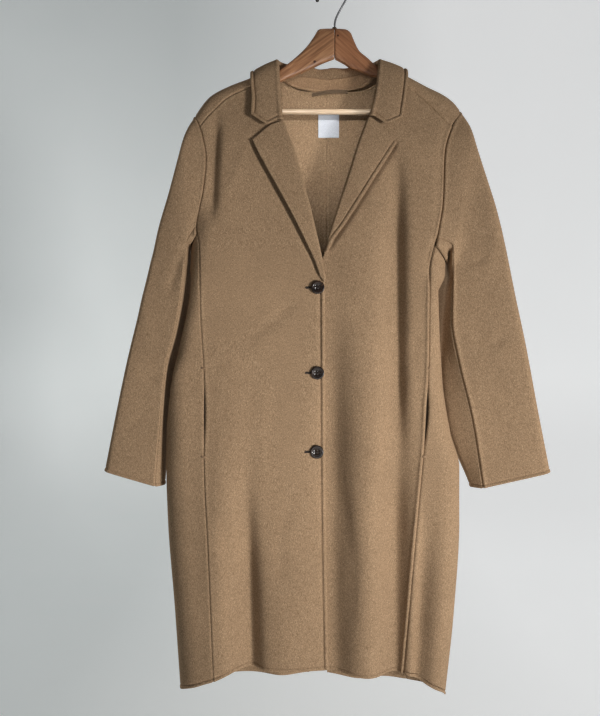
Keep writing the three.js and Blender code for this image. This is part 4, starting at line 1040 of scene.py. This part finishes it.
def sleeve_recess(side, grid):
    """Beside the sleeve the side panel falls back behind a soft upright edge."""
    push, top, bottom = RECESS[side]
    x, z = grid[..., 0], grid[..., 2]
    beyond = smooth(side * (x - RECESS_EDGE[side].x(z)) / RECESS_SOFT)
    below = smooth((top - z) / RECESS_TOP_FADE)
    return push * beyond * below * smooth((z - bottom + RECESS_FOOT_FADE) / RECESS_FOOT_FADE)


def creases(text):
    """Creases: push, width, fade, and then the x and z of each point it runs through."""
    return [(*row[:3], np.reshape(row[3:], (-1, 2))) for row in rows_in(text)]


FRONT_CREASES = {
    RIGHT: creases("""
        -1.6 10 30  -58 -596 -124  -646 -162  -674
        -1.3  6 12 -216 -718 -196  -706 -176  -704
        -2.4 11 60 -196 -946 -178 -1100 -182 -1222
         1.2  9 40 -150 -300 -168  -372 -196  -430
        -1.4 12 50  -70 -930  -92 -1010  -88 -1110
         1.4 13 60 -118 -720 -128  -830 -112  -930
    """),
    LEFT: creases("""
        -1.8 11 40  20 -600  68  -640 108  -690
        -1.8 12 60 118 -762  92  -840  84  -945
        -2.2 12 70  12 -892  34 -1050  30 -1190
        -4.0  5 22 184 -476 170  -516 168  -546 177 -582
         1.8  5 12 176 -508 188  -532 196  -540
         1.5 12 50  70 -320  98  -400  92  -480
        -1.5  9 30 150 -640 138  -690 146  -730
    """),
}
BACK_CREASES = {
    RIGHT: creases("""
        -3.8 16 60 -140 -290  -70 -400  -44  -590
        -4.8  9 30 -228 -520 -190 -596 -150  -640
        -4.5 14 90 -172 -700 -150 -900 -164 -1110
         2.9 13 50  -80 -760 -104 -860  -92  -990
    """),
    LEFT: creases("""
        -3.2 14 60 128 -320  84  -470  98  -650
        -4.2  8 26 176 -520 136  -588 112  -610
        -3.8 16 90  34 -760  12 -1000  24 -1200
         3.5 14 70 150 -820 166 -1000 150 -1180
    """),
}
SLEEVE_CREASES = {
    (RIGHT, "top"): creases("""
        -2.4  8 25 -246 -480 -272 -530 -292 -590
        -1.8  8 20 -350 -716 -322 -732 -298 -722
        -1.4  7 18 -372 -826 -344 -808 -314 -812
         1.2 10 30 -318 -500 -336 -590 -330 -660
    """),
    (RIGHT, "under"): creases("""
        -2.6 8 22 -262 -520 -290 -560 -320 -570
        -2.0 8 22 -300 -700 -326 -712 -352 -700
        -1.6 7 18 -318 -800 -344 -816 -368 -806
    """),
    (LEFT, "top"): creases("""
        -2.2  9 25 206 -506 240 -528 280 -520
        -2.2 10 25 240 -646 278 -672 314 -660
        -1.8  9 25 256 -770 294 -762 336 -780
         1.3 11 30 262 -400 284 -470 280 -540
    """),
    (LEFT, "under"): creases("""
        -2.4 8 22 200 -540 232 -566 262 -560
        -2.2 9 22 226 -690 256 -706 290 -696
        -1.6 8 20 262 -830 294 -846 326 -838
    """),
}


def edge_row(distance, grid, outward):
    """The grid's row nearest the line of stitching, and the way the cloth faces along it."""
    index = int(np.argmin(np.abs(distance.mean(axis=1) - EDGE_BAND)))
    return grid[index], outward * normals(grid)[index]


SEAM_DEPTH = {RIGHT: 0.35, LEFT: 1.0}  # the right side-front seam is pressed flatter than the left
SLEEVE_RIDGE = {RIGHT: 0.1, LEFT: 1.4}  # beside the sleeve's front seam, on its top panel
STAND_TUCK = 0.12  # how far the stand reaches down inside the neck seam, as a share of its height
ROLL_RIPPLES = rows_of("turn width push", """
    -0.17 0.045  1.5
    -0.07  0.04 -1.6
     0.03  0.05  1.7
     0.15  0.05 -1.4
     0.26  0.06    1
""")
STEP, FINE_STEP = 4.6, 3.0  # between the columns and rows of a large panel's grid, and of a small one's
LAPEL_STEP, STAND_STEP = 3.2, 2.0
FAR = 99  # no stitching near
# Rough lengths of cloth, which only set how many columns and rows each grid has.
FRONT_ACROSS, FRONT_UPPER, FRONT_LOWER = 235, 240, 780
SIDE_ACROSS, SIDE_DOWN = 130, 790
BACK_ACROSS, NECK_ACROSS, BACK_UPPER, BACK_LOWER = 150, 96, 300, 790
SLEEVE_ACROSS, LAPEL_ACROSS, LAPEL_DOWN = 125, 45, 290
COLLAR_AROUND, COLLAR_ACROSS, STAND_DOWN = 520, 48, 33
CUFF_LEVEL, CUFF_BAND_LEVEL = 8, 7.85
BREAK_Z = -565  # below it the front's edge shows; above, it is rolled back into the lapel
ARM = {RIGHT: "hanger_arm_right", LEFT: "hanger_arm_left"}
edge_rows = {}  # where each side's line of stitching runs, and the way the cloth faces there

SLEEVE_TURNS = {
    "top": (SLEEVE_BACK_SEAM - 2, SLEEVE_FRONT_SEAM),
    "under": (SLEEVE_FRONT_SEAM, SLEEVE_BACK_SEAM),
}


def make_front(side, name):
    down = joined(spread(FRONT_UPPER, STEP, HEAD_ONLY), spread(FRONT_LOWER, STEP, TAIL_ONLY))
    grid = grid_of(front_point, side, spread(FRONT_ACROSS, STEP), down)
    to_edge, to_seam, from_top, to_hem = all_lengths(grid)
    edge_part = smooth((BREAK_Z - grid[..., 2]) / 8)
    relief = front_lip(to_edge) * edge_part + SEAM_DEPTH[side] * seam_edge(to_seam, 1.8)
    relief = relief + seam_edge(from_top, 0.5)
    relief = relief + turned_edge(to_hem)
    relief = relief + under_lapel(side, grid)
    relief = relief + creased(grid, FRONT_CREASES[side])
    stitching = np.where(edge_part > 0.5, np.abs(to_edge - EDGE_BAND), FAR)
    moved = pushed(grid, relief, -side)
    cloth(f"front_{name}", moved, thinned(nearest(stitching, to_seam, from_top), 1.0))
    line, facing = edge_row(to_edge, moved, -side)
    shown = (line[:, 2] < BREAK_Z - 15) & (to_hem[0] > 8)
    edge_rows[side] = [(line[shown], facing[shown])]


def make_side(side, name):
    grid = grid_of(side_point, side, spread(SIDE_ACROSS, STEP), spread(SIDE_DOWN, STEP))
    first, last, from_top, to_hem = all_lengths(grid)
    relief = SEAM_DEPTH[side] * seam_edge(first, 0.1) + seam_edge(last, 0.5) + seam_edge(from_top, 0.2)
    relief = relief + turned_edge(to_hem) + sleeve_recess(side, grid)
    wall = thinned(nearest(first, last, from_top), 1.0)
    cloth(f"side_{name}", pushed(grid, relief, -side), wall)


def make_back(side, name):
    across = joined(spread(BACK_ACROSS, STEP, HEAD_ONLY), spread(NECK_ACROSS, STEP, TAIL_ONLY))
    down = joined(spread(BACK_UPPER, STEP, HEAD_ONLY), spread(BACK_LOWER, STEP, TAIL_ONLY))
    grid = grid_of(back_panel_point, side, across, down)
    first, last, from_top, to_hem = all_lengths(grid)
    relief = seam_edge(first, 0.8) + seam_edge(last, 0.8) + seam_edge(from_top, 0.2) + turned_edge(to_hem)
    relief = relief + creased(grid, BACK_CREASES[side])
    wall = thinned(nearest(first, last, from_top), 0.5, 2.6)
    cloth(f"back_{name}", pushed(grid, relief, -side), wall)


def make_sleeve(side, name, part):
    head = np.linspace(0, 1, 24, endpoint=False)
    arm = np.linspace(1, CUFF_BAND_LEVEL, 125, endpoint=False)
    levels = np.concatenate([head, arm, np.linspace(CUFF_BAND_LEVEL, CUFF_LEVEL, 14)])
    turns = mix(*SLEEVE_TURNS[part], spread(SLEEVE_ACROSS, FINE_STEP))
    grid = grid_of(sleeve_point, side, turns, levels)
    first, last, from_top, to_cuff = all_lengths(grid)
    front_end, back_end = (last, first) if part == "top" else (first, last)
    relief = seam_edge(front_end, SLEEVE_RIDGE[side] if part == "top" else 0) + seam_edge(back_end, 0.5)
    relief = relief + seam_edge(from_top, 1.3) + turned_edge(to_cuff)
    relief = relief + creased(grid, SLEEVE_CREASES[side, part])
    wall = thinned(nearest(first, last, from_top), 1.0)
    cloth(f"sleeve_{name}_{part}", pushed(grid, relief, side), wall)


def make_lapel(side, name):
    roll = np.linspace(0, ROLL_SHARE, 10, endpoint=False)
    across = np.concatenate([roll, mix(ROLL_SHARE, 1, spread(LAPEL_ACROSS, FINE_STEP, TAIL_ONLY))])
    grid = grid_of(lapel_point, side, across, spread(LAPEL_DOWN, LAPEL_STEP))
    to_edge = lengths(grid, 0)[1]
    moved = pushed(grid, LAPEL_STITCHING[side] * finished_edge(to_edge), -side)
    cloth(f"lapel_{name}", moved)
    line, facing = edge_row(to_edge, moved, -side)
    edge_rows[side].append((line[3:-3], facing[3:-3]))


def make_collar():
    """The fall, with soft ripples along its roll, and the stand inside the neck."""
    turns = 2 * spread(COLLAR_AROUND, FINE_STEP) - 1
    outer_half = mix(FOLD_END, 1, spread(COLLAR_ACROSS, FINE_STEP, TAIL_ONLY))
    shares = np.concatenate([[0, 0.12], np.linspace(FOLD_START, FOLD_END, 9), outer_half[1:]])
    fall = fall_point(turns[:, None], shares[None, :])
    first, last, _, to_outer = all_lengths(fall)
    to_edge = nearest(first, last, to_outer)
    relief = finished_edge(to_edge)
    on_roll = smooth((shares - 0.1) / 0.15) * smooth((0.62 - shares) / 0.15)
    for ripple in ROLL_RIPPLES:
        swell = ripple.push * bell((turns - ripple.turn) / ripple.width)
        relief = relief + swell[:, None] * on_roll[None, :]
    cloth("collar_fall", pushed(fall, relief), thinned(to_edge - EDGE_BAND, 1.2))
    heights = mix(-STAND_TUCK, 1, spread(STAND_DOWN, STAND_STEP))
    stand = stand_point(STAND_REACH * turns[:, None], heights[None, :])
    near_seam = nearest(*lengths(stand, 1))
    wall = thinned(near_seam, 0.8, 1.6)
    cloth("collar_stand", pushed(stand, seam_edge(near_seam, 0.8)), wall, WOOL_UNDER)


for side, name in SIDE_NAME.items():
    make_front(side, name)
    make_side(side, name)
    make_back(side, name)
    for part in SLEEVE_TURNS:
        make_sleeve(side, name, part)
    make_lapel(side, name)
make_collar()

# ---- small sewn pieces

POCKET_TOP, POCKET_BOTTOM, POCKET_DEPTH, POCKET_DROP = -716, -866, 80, 45
POCKET_INSIDE = {RIGHT: 3.5, LEFT: 5.6}
LABEL_X, LABEL_TOP, LABEL_WIDTH, LABEL_HEIGHT = -4.6, -243, 37.5, 45
LOOP_RIGHT, LOOP_LEFT, LOOP_RIGHT_Z, LOOP_LEFT_Z = -35, 30, -211, -205
LOOP_WIDTH, LOOP_BOW = 5.5, 4
INSIDE_GAP = WALL / 2 + THIN_WALL / 2 + 0.4


def even_grid(columns, rows):
    """Even shares from 0 to 1, as the columns and rows of a grid."""
    return np.linspace(0, 1, columns)[:, None], np.linspace(0, 1, rows)[None, :]


def inside_back(x, z, lift):
    """A point inside the coat, that far in front of the back panels."""
    made = pick(x < 0, back_point(RIGHT, x, z), back_point(LEFT, x, z))
    made[..., 1] -= INSIDE_GAP + lift
    return made


def label_point(u, v):
    u, v = np.broadcast_arrays(u, v)
    x = LABEL_X + LABEL_WIDTH * (u - 0.5)
    corner = (2 * u - 1) ** 2 * (2 * v - 1) ** 2
    pucker = 0.5 * np.sin(9 * v + 2) * np.sin(7 * u) * (1 - corner)
    return inside_back(x, LABEL_TOP - LABEL_HEIGHT * v, 0.5 + pucker)


def loop_point(u, v):
    u, v = np.broadcast_arrays(u, v)
    x = mix(LOOP_RIGHT, LOOP_LEFT, u)
    middle = mix(LOOP_RIGHT_Z, LOOP_LEFT_Z, u) + 1.2 * np.sin(np.pi * u)
    z = middle + LOOP_WIDTH * (0.5 - v)
    return inside_back(x, z, LOOP_BOW * np.sin(np.pi * u) + 0.8 * np.sin(3 * np.pi * v))


def pocket_point(side, u, v):
    u, v = np.broadcast_arrays(u, v)
    z = mix(POCKET_TOP + 6, POCKET_BOTTOM - POCKET_DROP * smooth(u * 2), v)
    x = FRONT_OUTER[side].x(z) + side * (4 - POCKET_DEPTH * u)
    made = face_point(side, x, z)
    made[..., 1] += POCKET_INSIDE[side]
    return made


label = label_point(*even_grid(30, 34))
label = pushed(label, groove(nearest(*all_lengths(label)) - 2.2, 0.25, 0.5))
cloth("neck_label", label, THIN_WALL, LABEL_CLOTH)
cloth("hanger_loop", loop_point(*even_grid(50, 9)), THIN_WALL, LOOP_TAPE)
for side, name in SIDE_NAME.items():
    bag = pocket_point(side, *even_grid(24, 40))
    cloth(f"pocket_bag_{name}", bag, THIN_WALL, POCKETING)

# ---- threads and stitches


def ring_faces(count, sides):
    """Faces of a closed form through rings of points, numbered one ring after another."""
    faces = []
    for k in range(count - 1):
        for i in range(sides):
            a, b = k * sides + i, k * sides + (i + 1) % sides
            faces.append((a, b, b + sides, a + sides))
    faces.append(tuple(range(sides))[::-1])
    faces.append(tuple((count - 1) * sides + i for i in range(sides)))
    return faces


def tube(points, radius, sides=8, ends=True):
    """Vertices and faces of a round rod along points, with tapered ends."""
    points = np.asarray(points, float)
    along = unit(np.gradient(points, axis=0))
    aside = unit(np.cross(along, np.array([0.31, 0.92, 0.24])))
    third = np.cross(along, aside)
    radii = np.full(len(points), float(radius))
    if ends:
        radii[[0, -1]] *= 0.35
    angles = np.arange(sides) * 2 * math.pi / sides
    ring = np.cos(angles)[None, :, None] * aside[:, None] + np.sin(angles)[None, :, None] * third[:, None]
    return (points[:, None] + ring * radii[:, None, None]).reshape(-1, 3), ring_faces(len(points), sides)


def along_line(points):
    """How far along a line each of its points lies."""
    return np.concatenate([[0], np.cumsum(np.linalg.norm(np.diff(points, axis=0), axis=1))])


def places_at(distances, at, values):
    """What a line's values are at some distances along it."""
    return np.stack([np.interp(distances, at, values[:, axis]) for axis in range(3)], -1)


def merged(parts):
    """Several meshes' vertices and faces as one."""
    vertices, faces, count = [], [], 0
    for points, part_faces in parts:
        vertices.append(points)
        faces.extend(tuple(index + count for index in face) for face in part_faces)
        count += len(points)
    return np.concatenate(vertices), faces


def stitch(middle, direction, facing, length, radius, sink=0.3):
    """One thread lying on the cloth, its ends sunk in."""
    arch = ((-0.5, -sink), (-0.3, radius * 0.7), (0, radius), (0.3, radius * 0.7), (0.5, -sink))
    line = [middle + direction * length * share + facing * height for share, height in arch]
    return tube(line, radius, 5)


def stitch_row(line, facing, gap=4.6, length=1.7, radius=0.28):
    """Stitches at even gaps along a line on the cloth."""
    at = along_line(line)
    made = []
    for place in np.arange(gap, at[-1] - gap / 2, gap):
        middle, ahead = places_at(np.array([place, place + 0.8]), at, line)
        out = unit(places_at(place, at, facing))
        made.append(stitch(middle + out * WALL / 2, unit(ahead - middle), out, length, radius))
    return made


FORWARD = np.array([0.0, -1.0, 0.0])
TACK_THREADS, TACK_LENGTH, TACK_RADIUS, TACK_LIFT, TACK_SINK = 4, 8.0, 0.5, 1.3, 1.6


def pocket_tack(side, level):
    """A short bar of close stitches across one end of a pocket's opening."""
    middle = face_point(side, FRONT_OUTER[side].x(level), np.array(float(level)))
    made = []
    for k in range(TACK_THREADS):
        at = middle + FORWARD * (WALL / 2 + TACK_LIFT) + np.array([0, 0, (k - 1.5) * 1.6 * TACK_RADIUS])
        made.append(stitch(at, np.array([1.0, 0, 0]), FORWARD, TACK_LENGTH, TACK_RADIUS, TACK_SINK))
    return made


for side, name in SIDE_NAME.items():
    rows = [stitch_row(line, facing) for line, facing in edge_rows[side]]
    threads(f"stitches_edge_{name}", sum(rows, []))
    tacks = pocket_tack(side, POCKET_TOP + 2) + pocket_tack(side, POCKET_BOTTOM - 2)
    threads(f"stitches_pocket_{name}", tacks)

# ---- buttons and buttonholes

BUTTONS = {"top": (-26.5, -573), "middle": (-27, -722), "bottom": (-28, -860)}
BUTTON_RADIUS, BUTTON_THICK, BUTTON_LIFT = 11.75, 3.4, 2.3
DISH_RADIUS, DISH_DEPTH, BUTTON_ROUND = 8.2, 0.9, 1.3
HOLE_RADIUS, HOLE_SPREAD = 1.1, 2.3
BUTTONHOLE_LENGTH, SLIT_RADIUS = 20, 0.62
RIM_OFF, RIM_STEP, RIM_LENGTH, RIM_RADIUS = 1.25, 0.75, 1.9, 0.38  # the buttonhole's close stitches
STRAND_PROFILE = ((-1, 1.4), (-0.9, -0.1), (-0.4, -0.6), (0.4, -0.6), (0.9, -0.1), (1, 1.4))
AROUND = 64


def circle(radius, x, y, z, count):
    """Points of a circle that faces along Y."""
    angles = np.arange(count) * 2 * math.pi / count
    return np.stack([x + radius * np.cos(angles), np.full(count, float(y)), z + radius * np.sin(angles)], -1)


def button_mesh(name, x, y, z):
    """A four-hole button facing -Y, its back on the plane y."""
    front, dish = y - BUTTON_THICK, y - BUTTON_THICK + DISH_DEPTH
    profile = [(DISH_RADIUS - 1.2, dish)]
    for turn in np.linspace(0, math.pi / 2, 5):
        profile.append((DISH_RADIUS + 0.5 - 0.9 * math.cos(turn), dish - DISH_DEPTH * math.sin(turn)))
    for turn in np.linspace(0.25, math.pi / 2, 5):
        away, down = math.sin(turn) - 1, 1 - math.cos(turn)
        profile.append((BUTTON_RADIUS + BUTTON_ROUND * away, front + BUTTON_ROUND * down))
    profile += [(BUTTON_RADIUS, y - 1.2), (BUTTON_RADIUS - 0.5, y - 0.35), (BUTTON_RADIUS - 1.6, y)]
    made = bmesh.new()
    rings = [[made.verts.new(point) for point in circle(r, x, depth, z, AROUND)] for r, depth in profile]
    for first, second in zip(rings, rings[1:]):
        for k in range(AROUND):
            made.faces.new((first[k], first[k - 1], second[k - 1], second[k]))
    holes = [(x + a * HOLE_SPREAD, z + b * HOLE_SPREAD) for a in (-1, 1) for b in (-1, 1)]
    openings = []
    for depth, outline in ((dish, rings[0]), (y, rings[-1])):
        loops = [outline]
        for hole_x, hole_z in holes:
            round_hole = circle(HOLE_RADIUS, hole_x, depth, hole_z, 16)
            loops.append([made.verts.new(place) for place in round_hole])
        edges = []
        for loop_verts in loops:
            for k, vert in enumerate(loop_verts):
                pair = (loop_verts[k - 1], vert)
                edges.append(made.edges.get(pair) or made.edges.new(pair))
        bmesh.ops.triangle_fill(made, edges=edges, use_beauty=True)
        openings.append(loops[1:])
    for upper, lower in zip(*openings):
        for k in range(len(upper)):
            made.faces.new((upper[k], upper[k - 1], lower[k - 1], lower[k]))
    bmesh.ops.recalc_face_normals(made, faces=made.faces)
    made.verts.index_update()
    points = [tuple(vert.co) for vert in made.verts]
    faces = [tuple(vert.index for vert in face.verts) for face in made.faces]
    made.free()
    return make_mesh(name, points, faces)


def outer_y(x, z, side=RIGHT):
    """Where a front's outer face lies."""
    return face_point(side, np.array(float(x)), np.array(float(z)))[1] - WALL / 2


def button_thread(x, z, dish, back, under_y):
    """Two strands over each pair of holes, and the shank wound from the button to the under front."""
    strands = []
    for across in (-1, 1):
        for aside in (-0.45, 0.45):
            thread_x = x + across * HOLE_SPREAD + aside
            line = [(thread_x, dish + drop, z + share * HOLE_SPREAD) for share, drop in STRAND_PROFILE]
            strands.append(tube(line, 0.36, 8))
    angles = np.linspace(0, 2 * math.pi, 14)
    for height in np.linspace(back + 0.2, under_y - 0.6, 5):
        wound = np.stack([x + 1.4 * np.cos(angles), height + 0.1 * angles, z + 1.4 * np.sin(angles)], -1)
        strands.append(tube(wound, 0.6, 6))
    return strands


def buttonhole_rim(x, z):
    """Close stitches along both sides of the slit and round its far end."""
    end_x = x - BUTTONHOLE_LENGTH
    rim = []
    for place in np.arange(end_x, x - 2, RIM_STEP):
        for up in (-1, 1):
            middle = np.array([place, outer_y(place, z), z + up * RIM_OFF])
            rim.append(stitch(middle, np.array([0.12, 0.0, 0.99]), FORWARD, RIM_LENGTH, RIM_RADIUS))
    for turn in np.linspace(-math.pi / 2, math.pi / 2, 6):
        way = np.array([-math.cos(turn), 0.0, math.sin(turn)])
        middle = np.array([end_x, outer_y(end_x, z), z]) + way * RIM_OFF
        rim.append(stitch(middle, way, FORWARD, RIM_LENGTH, RIM_RADIUS))
    return rim


for name, (x, z) in BUTTONS.items():
    back = outer_y(x, z) - BUTTON_LIFT
    dress(button_mesh(f"horn_button_{name}", x, back, z), [f"button_{name}"], HORN)
    dish = back - BUTTON_THICK + DISH_DEPTH
    strands = button_thread(x, z, dish, back, outer_y(x, z, LEFT))
    threads(f"button_thread_{name}", strands, DARK_THREAD)
    # painted shade: a thin dark tube on the front stands for the shade in the buttonhole's slit
    slit = [(at, outer_y(at, z) - 0.1, z) for at in np.linspace(x - BUTTONHOLE_LENGTH, x, 9)]
    threads(f"buttonhole_slit_{name}", [tube(slit, SLIT_RADIUS, 8)], SLIT_SHADE)
    threads(f"buttonhole_stitches_{name}", buttonhole_rim(x, z), DARK_THREAD)

# ---- the hanger

# Sections of the wooden arms.
HANGER_ARM = two_tables("x top bottom y thick", """
    -221   -248 -259   -8    8 | 5.2    -98 -152    0   14
    -214   -241 -264   -8   12 |  24  -99.2 -162    0   14
    -196 -224.6 -259   -8   13 |  34   -105 -169    0   14
    -150   -202 -227   -5   12 |  40   -119 -171    0 13.5
    -108 -183.6 -204   -2   12 |  50   -139 -175 -0.5 13.5
     -93   -174 -196 -4.6   11 |  64   -151 -181   -1   13
     -62   -148 -181   -1   13 |  84   -173 -189   -6   11
     -46   -132 -174 -0.5 13.5 | 100   -187 -203   -2   12
     -33   -114 -168    0 13.5 | 140 -204.2 -226   -5   12
     -23  -99.5 -163    0   14 | 186   -227 -258   -8   13
     -14  -98.4 -159    0   14 | 204   -240 -263   -8   12
     4.8    -98 -152    0   14 | 211   -248 -258   -8    8
""")
ARM_SPAN = {RIGHT: (-221, 4.8), LEFT: (5.2, 211)}
BAR_Z, BAR_Y, BAR_RADIUS, BAR_ENDS = -251.5, -8, 4.7, (-204, 194)
HOOK_RADIUS, HOOK_WIRE, HOOK_TIP, FERRULE_RADIUS = 30.9, 2.2, 3.6, 4.2
HOOK_TURNS = (math.radians(-37), math.radians(212))
STEM_X, STEM_FOOT, KNEE_X, KNEE_Z = 5, -97.6, 8.5, -76


BEVEL_DEPTH, BEVEL_START, BEVEL_REACH = 0.16, 0.72, 0.28


def rounded_ring(x, row, soft=5.0):
    """A section of an arm: a flat-faced form with rounded edges, wider bevels above than below."""
    angles = np.linspace(0, 2 * math.pi, 28, endpoint=False)
    reach = (np.abs(np.cos(angles)) ** soft + np.abs(np.sin(angles)) ** soft) ** (-1 / soft)
    out, up = np.cos(angles) * reach, np.sin(angles) * reach
    bevel = 1 - BEVEL_DEPTH * smooth((up - BEVEL_START) / BEVEL_REACH)
    top, bottom = row.top(x), row.bottom(x)
    y = row.y(x) + row.thick(x) / 2 * out * bevel
    z = (top + bottom) / 2 + (top - bottom) / 2 * up
    return np.stack([np.full_like(y, x), y, z], -1)


DOME = ((0.9, 0.4), (0.55, 0.5))  # shares of the end ring's size, and how far they stand out


def lofted(name, rings):
    """A closed form through rings of points, domed a little at both ends."""
    rings = np.asarray(rings)
    ends = []
    for end, inner in ((rings[0], rings[1]), (rings[-1], rings[-2])):
        centre = end.mean(0)
        out = unit(centre - inner.mean(0))
        ends.append([centre + (end - centre) * share + out * rise for share, rise in DOME])
    rings = np.concatenate([ends[0][::-1], rings, ends[1]])
    faces = [(face[0], *face[:0:-1]) for face in ring_faces(*rings.shape[:2])]  # turned over
    return make_mesh(name, rings.reshape(-1, 3), faces)


def circle_part(radius, centre_z, angles):
    return [(radius * math.cos(a), 0, centre_z + radius * math.sin(a)) for a in angles]


def rod(name, line, radius, sides):
    return make_mesh(name, *tube(line, radius, sides, ends=False))


def smoothed(points, count=160):
    """Evenly spaced places on a rounded line through points."""
    points = np.asarray(points, float)
    for _ in range(4):
        cut = np.stack([points[:-1] * 0.75 + points[1:] * 0.25, points[:-1] * 0.25 + points[1:] * 0.75], 1)
        points = np.concatenate([points[:1], cut.reshape(-1, 3), points[-1:]])
    at = along_line(points)
    return places_at(np.linspace(0, at[-1], count), at, points)


for side, name in SIDE_NAME.items():
    start, end = ARM_SPAN[side]
    rings = [rounded_ring(x, HANGER_ARM[side]) for x in np.linspace(start + 0.5, end - 0.5, 70)]
    dress(lofted(f"wooden_arm_{name}", rings), [ARM[side]], ARM_WOOD[side])

bar_line = [(x, BAR_Y, BAR_Z) for x in np.linspace(*BAR_ENDS, 12)]
dress(rod("trouser_bar", bar_line, BAR_RADIUS, 40), ["hanger_bar"], DOWEL_WOOD)

arc = circle_part(HOOK_RADIUS, HOOK_WIRE - HOOK_RADIUS, np.linspace(*HOOK_TURNS, 90))
stem = [(STEM_X, 0, STEM_FOOT), (STEM_X + 0.5, 0, STEM_FOOT + 10), (KNEE_X, 0, KNEE_Z)]
wire_line = smoothed(stem + arc)
dress(rod("hook_wire", wire_line, HOOK_WIRE, 24), ["hanger_hook"], CHROME)
x, y, z = wire_line[-1]
turns = np.linspace(0.12, math.pi - 0.12, 14)
ball = [circle(HOOK_TIP * math.sin(a), x, y + HOOK_TIP * math.cos(a), z, 24) for a in turns]
dress(lofted("hook_tip", ball), [], TIP_METAL)
ferrule_line = [(STEM_X, 0, STEM_FOOT - 0.6), (STEM_X, 0, STEM_FOOT + 1.6)]
dress(rod("hook_ferrule", ferrule_line, FERRULE_RADIUS, 28), [], SCREW_METAL)

# ---- stage

INSIDE_CLOTHS = ("back_right", "back_left", "collar_stand", "hanger_loop", "neck_label")
INSIDE_PIECES = [f"cloth_{node}" for node in INSIDE_CLOTHS] + ["trouser_bar"]
CAMERA_AT = (-0.0575, -1.2, -0.696)
LENS, SENSOR_WIDTH = 33.18, 36
LAMP_WHITE = (1.0, 0.99, 0.98)
SWEEP = ((-3.0, -1.5), (0.8, -1.5), (1.3, -1.47), (1.7, -1.35), (1.95, -1.1), (2.02, -0.8), (2.05, 2.5))
SWEEP_HALF_WIDTH = 6.0
PAINTED_WALL_LIGHT = 0.5  # light painted onto the wall as emission, more on the side of the wearer's left


def area_light(name, location, target, size, power, colour=LAMP_WHITE, spread_degrees=180):
    light = bpy.data.lights.new(name, "AREA")
    light.spread = math.radians(spread_degrees)
    light.shape = "RECTANGLE"
    light.size, light.size_y = size
    light.energy = power
    light.color = colour
    lamp = bpy.data.objects.new(name, light)
    bpy.context.scene.collection.objects.link(lamp)
    lamp.location = location
    direction = np.array(target) - np.array(location)
    lamp.rotation_euler = Vector(direction).to_track_quat("-Z", "Y").to_euler()
    return lamp


def light_only(lamp, pieces):
    """The lamp lights nothing but these pieces."""
    receivers = bpy.data.collections.new(f"lit_by_{lamp.name}")
    for piece in pieces:
        receivers.objects.link(piece)
    lamp.light_linking.receiver_collection = receivers


# The paper has an even pale tone of its own; on top of that it emits painted light, brighter towards the
# wearer's left.
def paper_and_painted_light_material():
    material, tree, shader = node_material("studio_paper_painted_light", roughness=0.9, Emission_Strength=PAINTED_WALL_LIGHT)
    paper = ramp(tree, noise(tree, 3, 2.0), (0.3, (226, 229, 229)), (0.7, (230, 233, 233)))
    split = add(tree, "ShaderNodeSeparateXYZ")
    tree.links.new(object_coordinates(tree, (0.55, 1, 1)), split.inputs[0])
    shifted = add(tree, "ShaderNodeMath", operation="ADD")
    shifted.inputs[1].default_value = 0.5
    tree.links.new(split.outputs["X"], shifted.inputs[0])
    # painted light: the emission ramps from grey at the wearer's right to white at the wearer's left
    painted_light_ramp = ramp(tree, shifted.outputs[0], (0.15, (176, 181, 180)), (0.85, (255, 255, 255)))
    tree.links.new(paper, shader.inputs["Base Color"])
    tree.links.new(painted_light_ramp, shader.inputs["Emission Color"])
    return material


def backdrop():
    """A paper sweep: floor, curve and wall in one."""
    ends = (-SWEEP_HALF_WIDTH, SWEEP_HALF_WIDTH)
    points = [(x / MM, y / MM, z / MM) for x in ends for y, z in SWEEP]
    count = len(SWEEP)
    faces = [(k, k + count, k + count + 1, k + 1) for k in range(count - 1)]
    floor = make_mesh("studio_floor", points, faces)
    floor.data.materials.append(paper_and_painted_light_material())


def lights():
    world = bpy.data.worlds.new("studio")
    bpy.context.scene.world = world
    world.use_nodes = True
    background = world.node_tree.nodes["Background"]
    background.inputs["Color"].default_value = (0.93, 0.96, 1.0, 1)
    background.inputs["Strength"].default_value = 0.1
    middle = (-0.03, 0, -0.8)
    area_light("key", (2.3, -2.35, -1.25), (0.03, 0, -0.92), (0.6, 0.8), 8.8, spread_degrees=40)
    area_light("front", (0.1, -2.3, -1.35), middle, (1.0, 1.0), 6)
    back = area_light("back", (-1.35, 1.35, 0.2), middle, (1.2, 1.2), 30)
    meshes = [piece for piece in bpy.data.objects if piece.type == "MESH"]
    light_only(back, [piece for piece in meshes if piece.name != "studio_floor"])
    neck = area_light("neck", (-0.1, -1.9, -0.25), (-0.006, 0, -0.31), (0.1, 0.1), 0.13, (1, 1, 1), 12)
    light_only(neck, [bpy.data.objects[name] for name in INSIDE_PIECES])


def camera():
    data = bpy.data.cameras.new("camera")
    data.lens = LENS
    data.sensor_width = SENSOR_WIDTH
    data.clip_start = 0.05
    eye = bpy.data.objects.new("camera", data)
    bpy.context.scene.collection.objects.link(eye)
    eye.location = CAMERA_AT
    eye.rotation_euler = (math.pi / 2, 0, 0)
    bpy.context.scene.camera = eye


backdrop()
lights()
camera()
bpy.context.scene.view_settings.view_transform = "Standard"
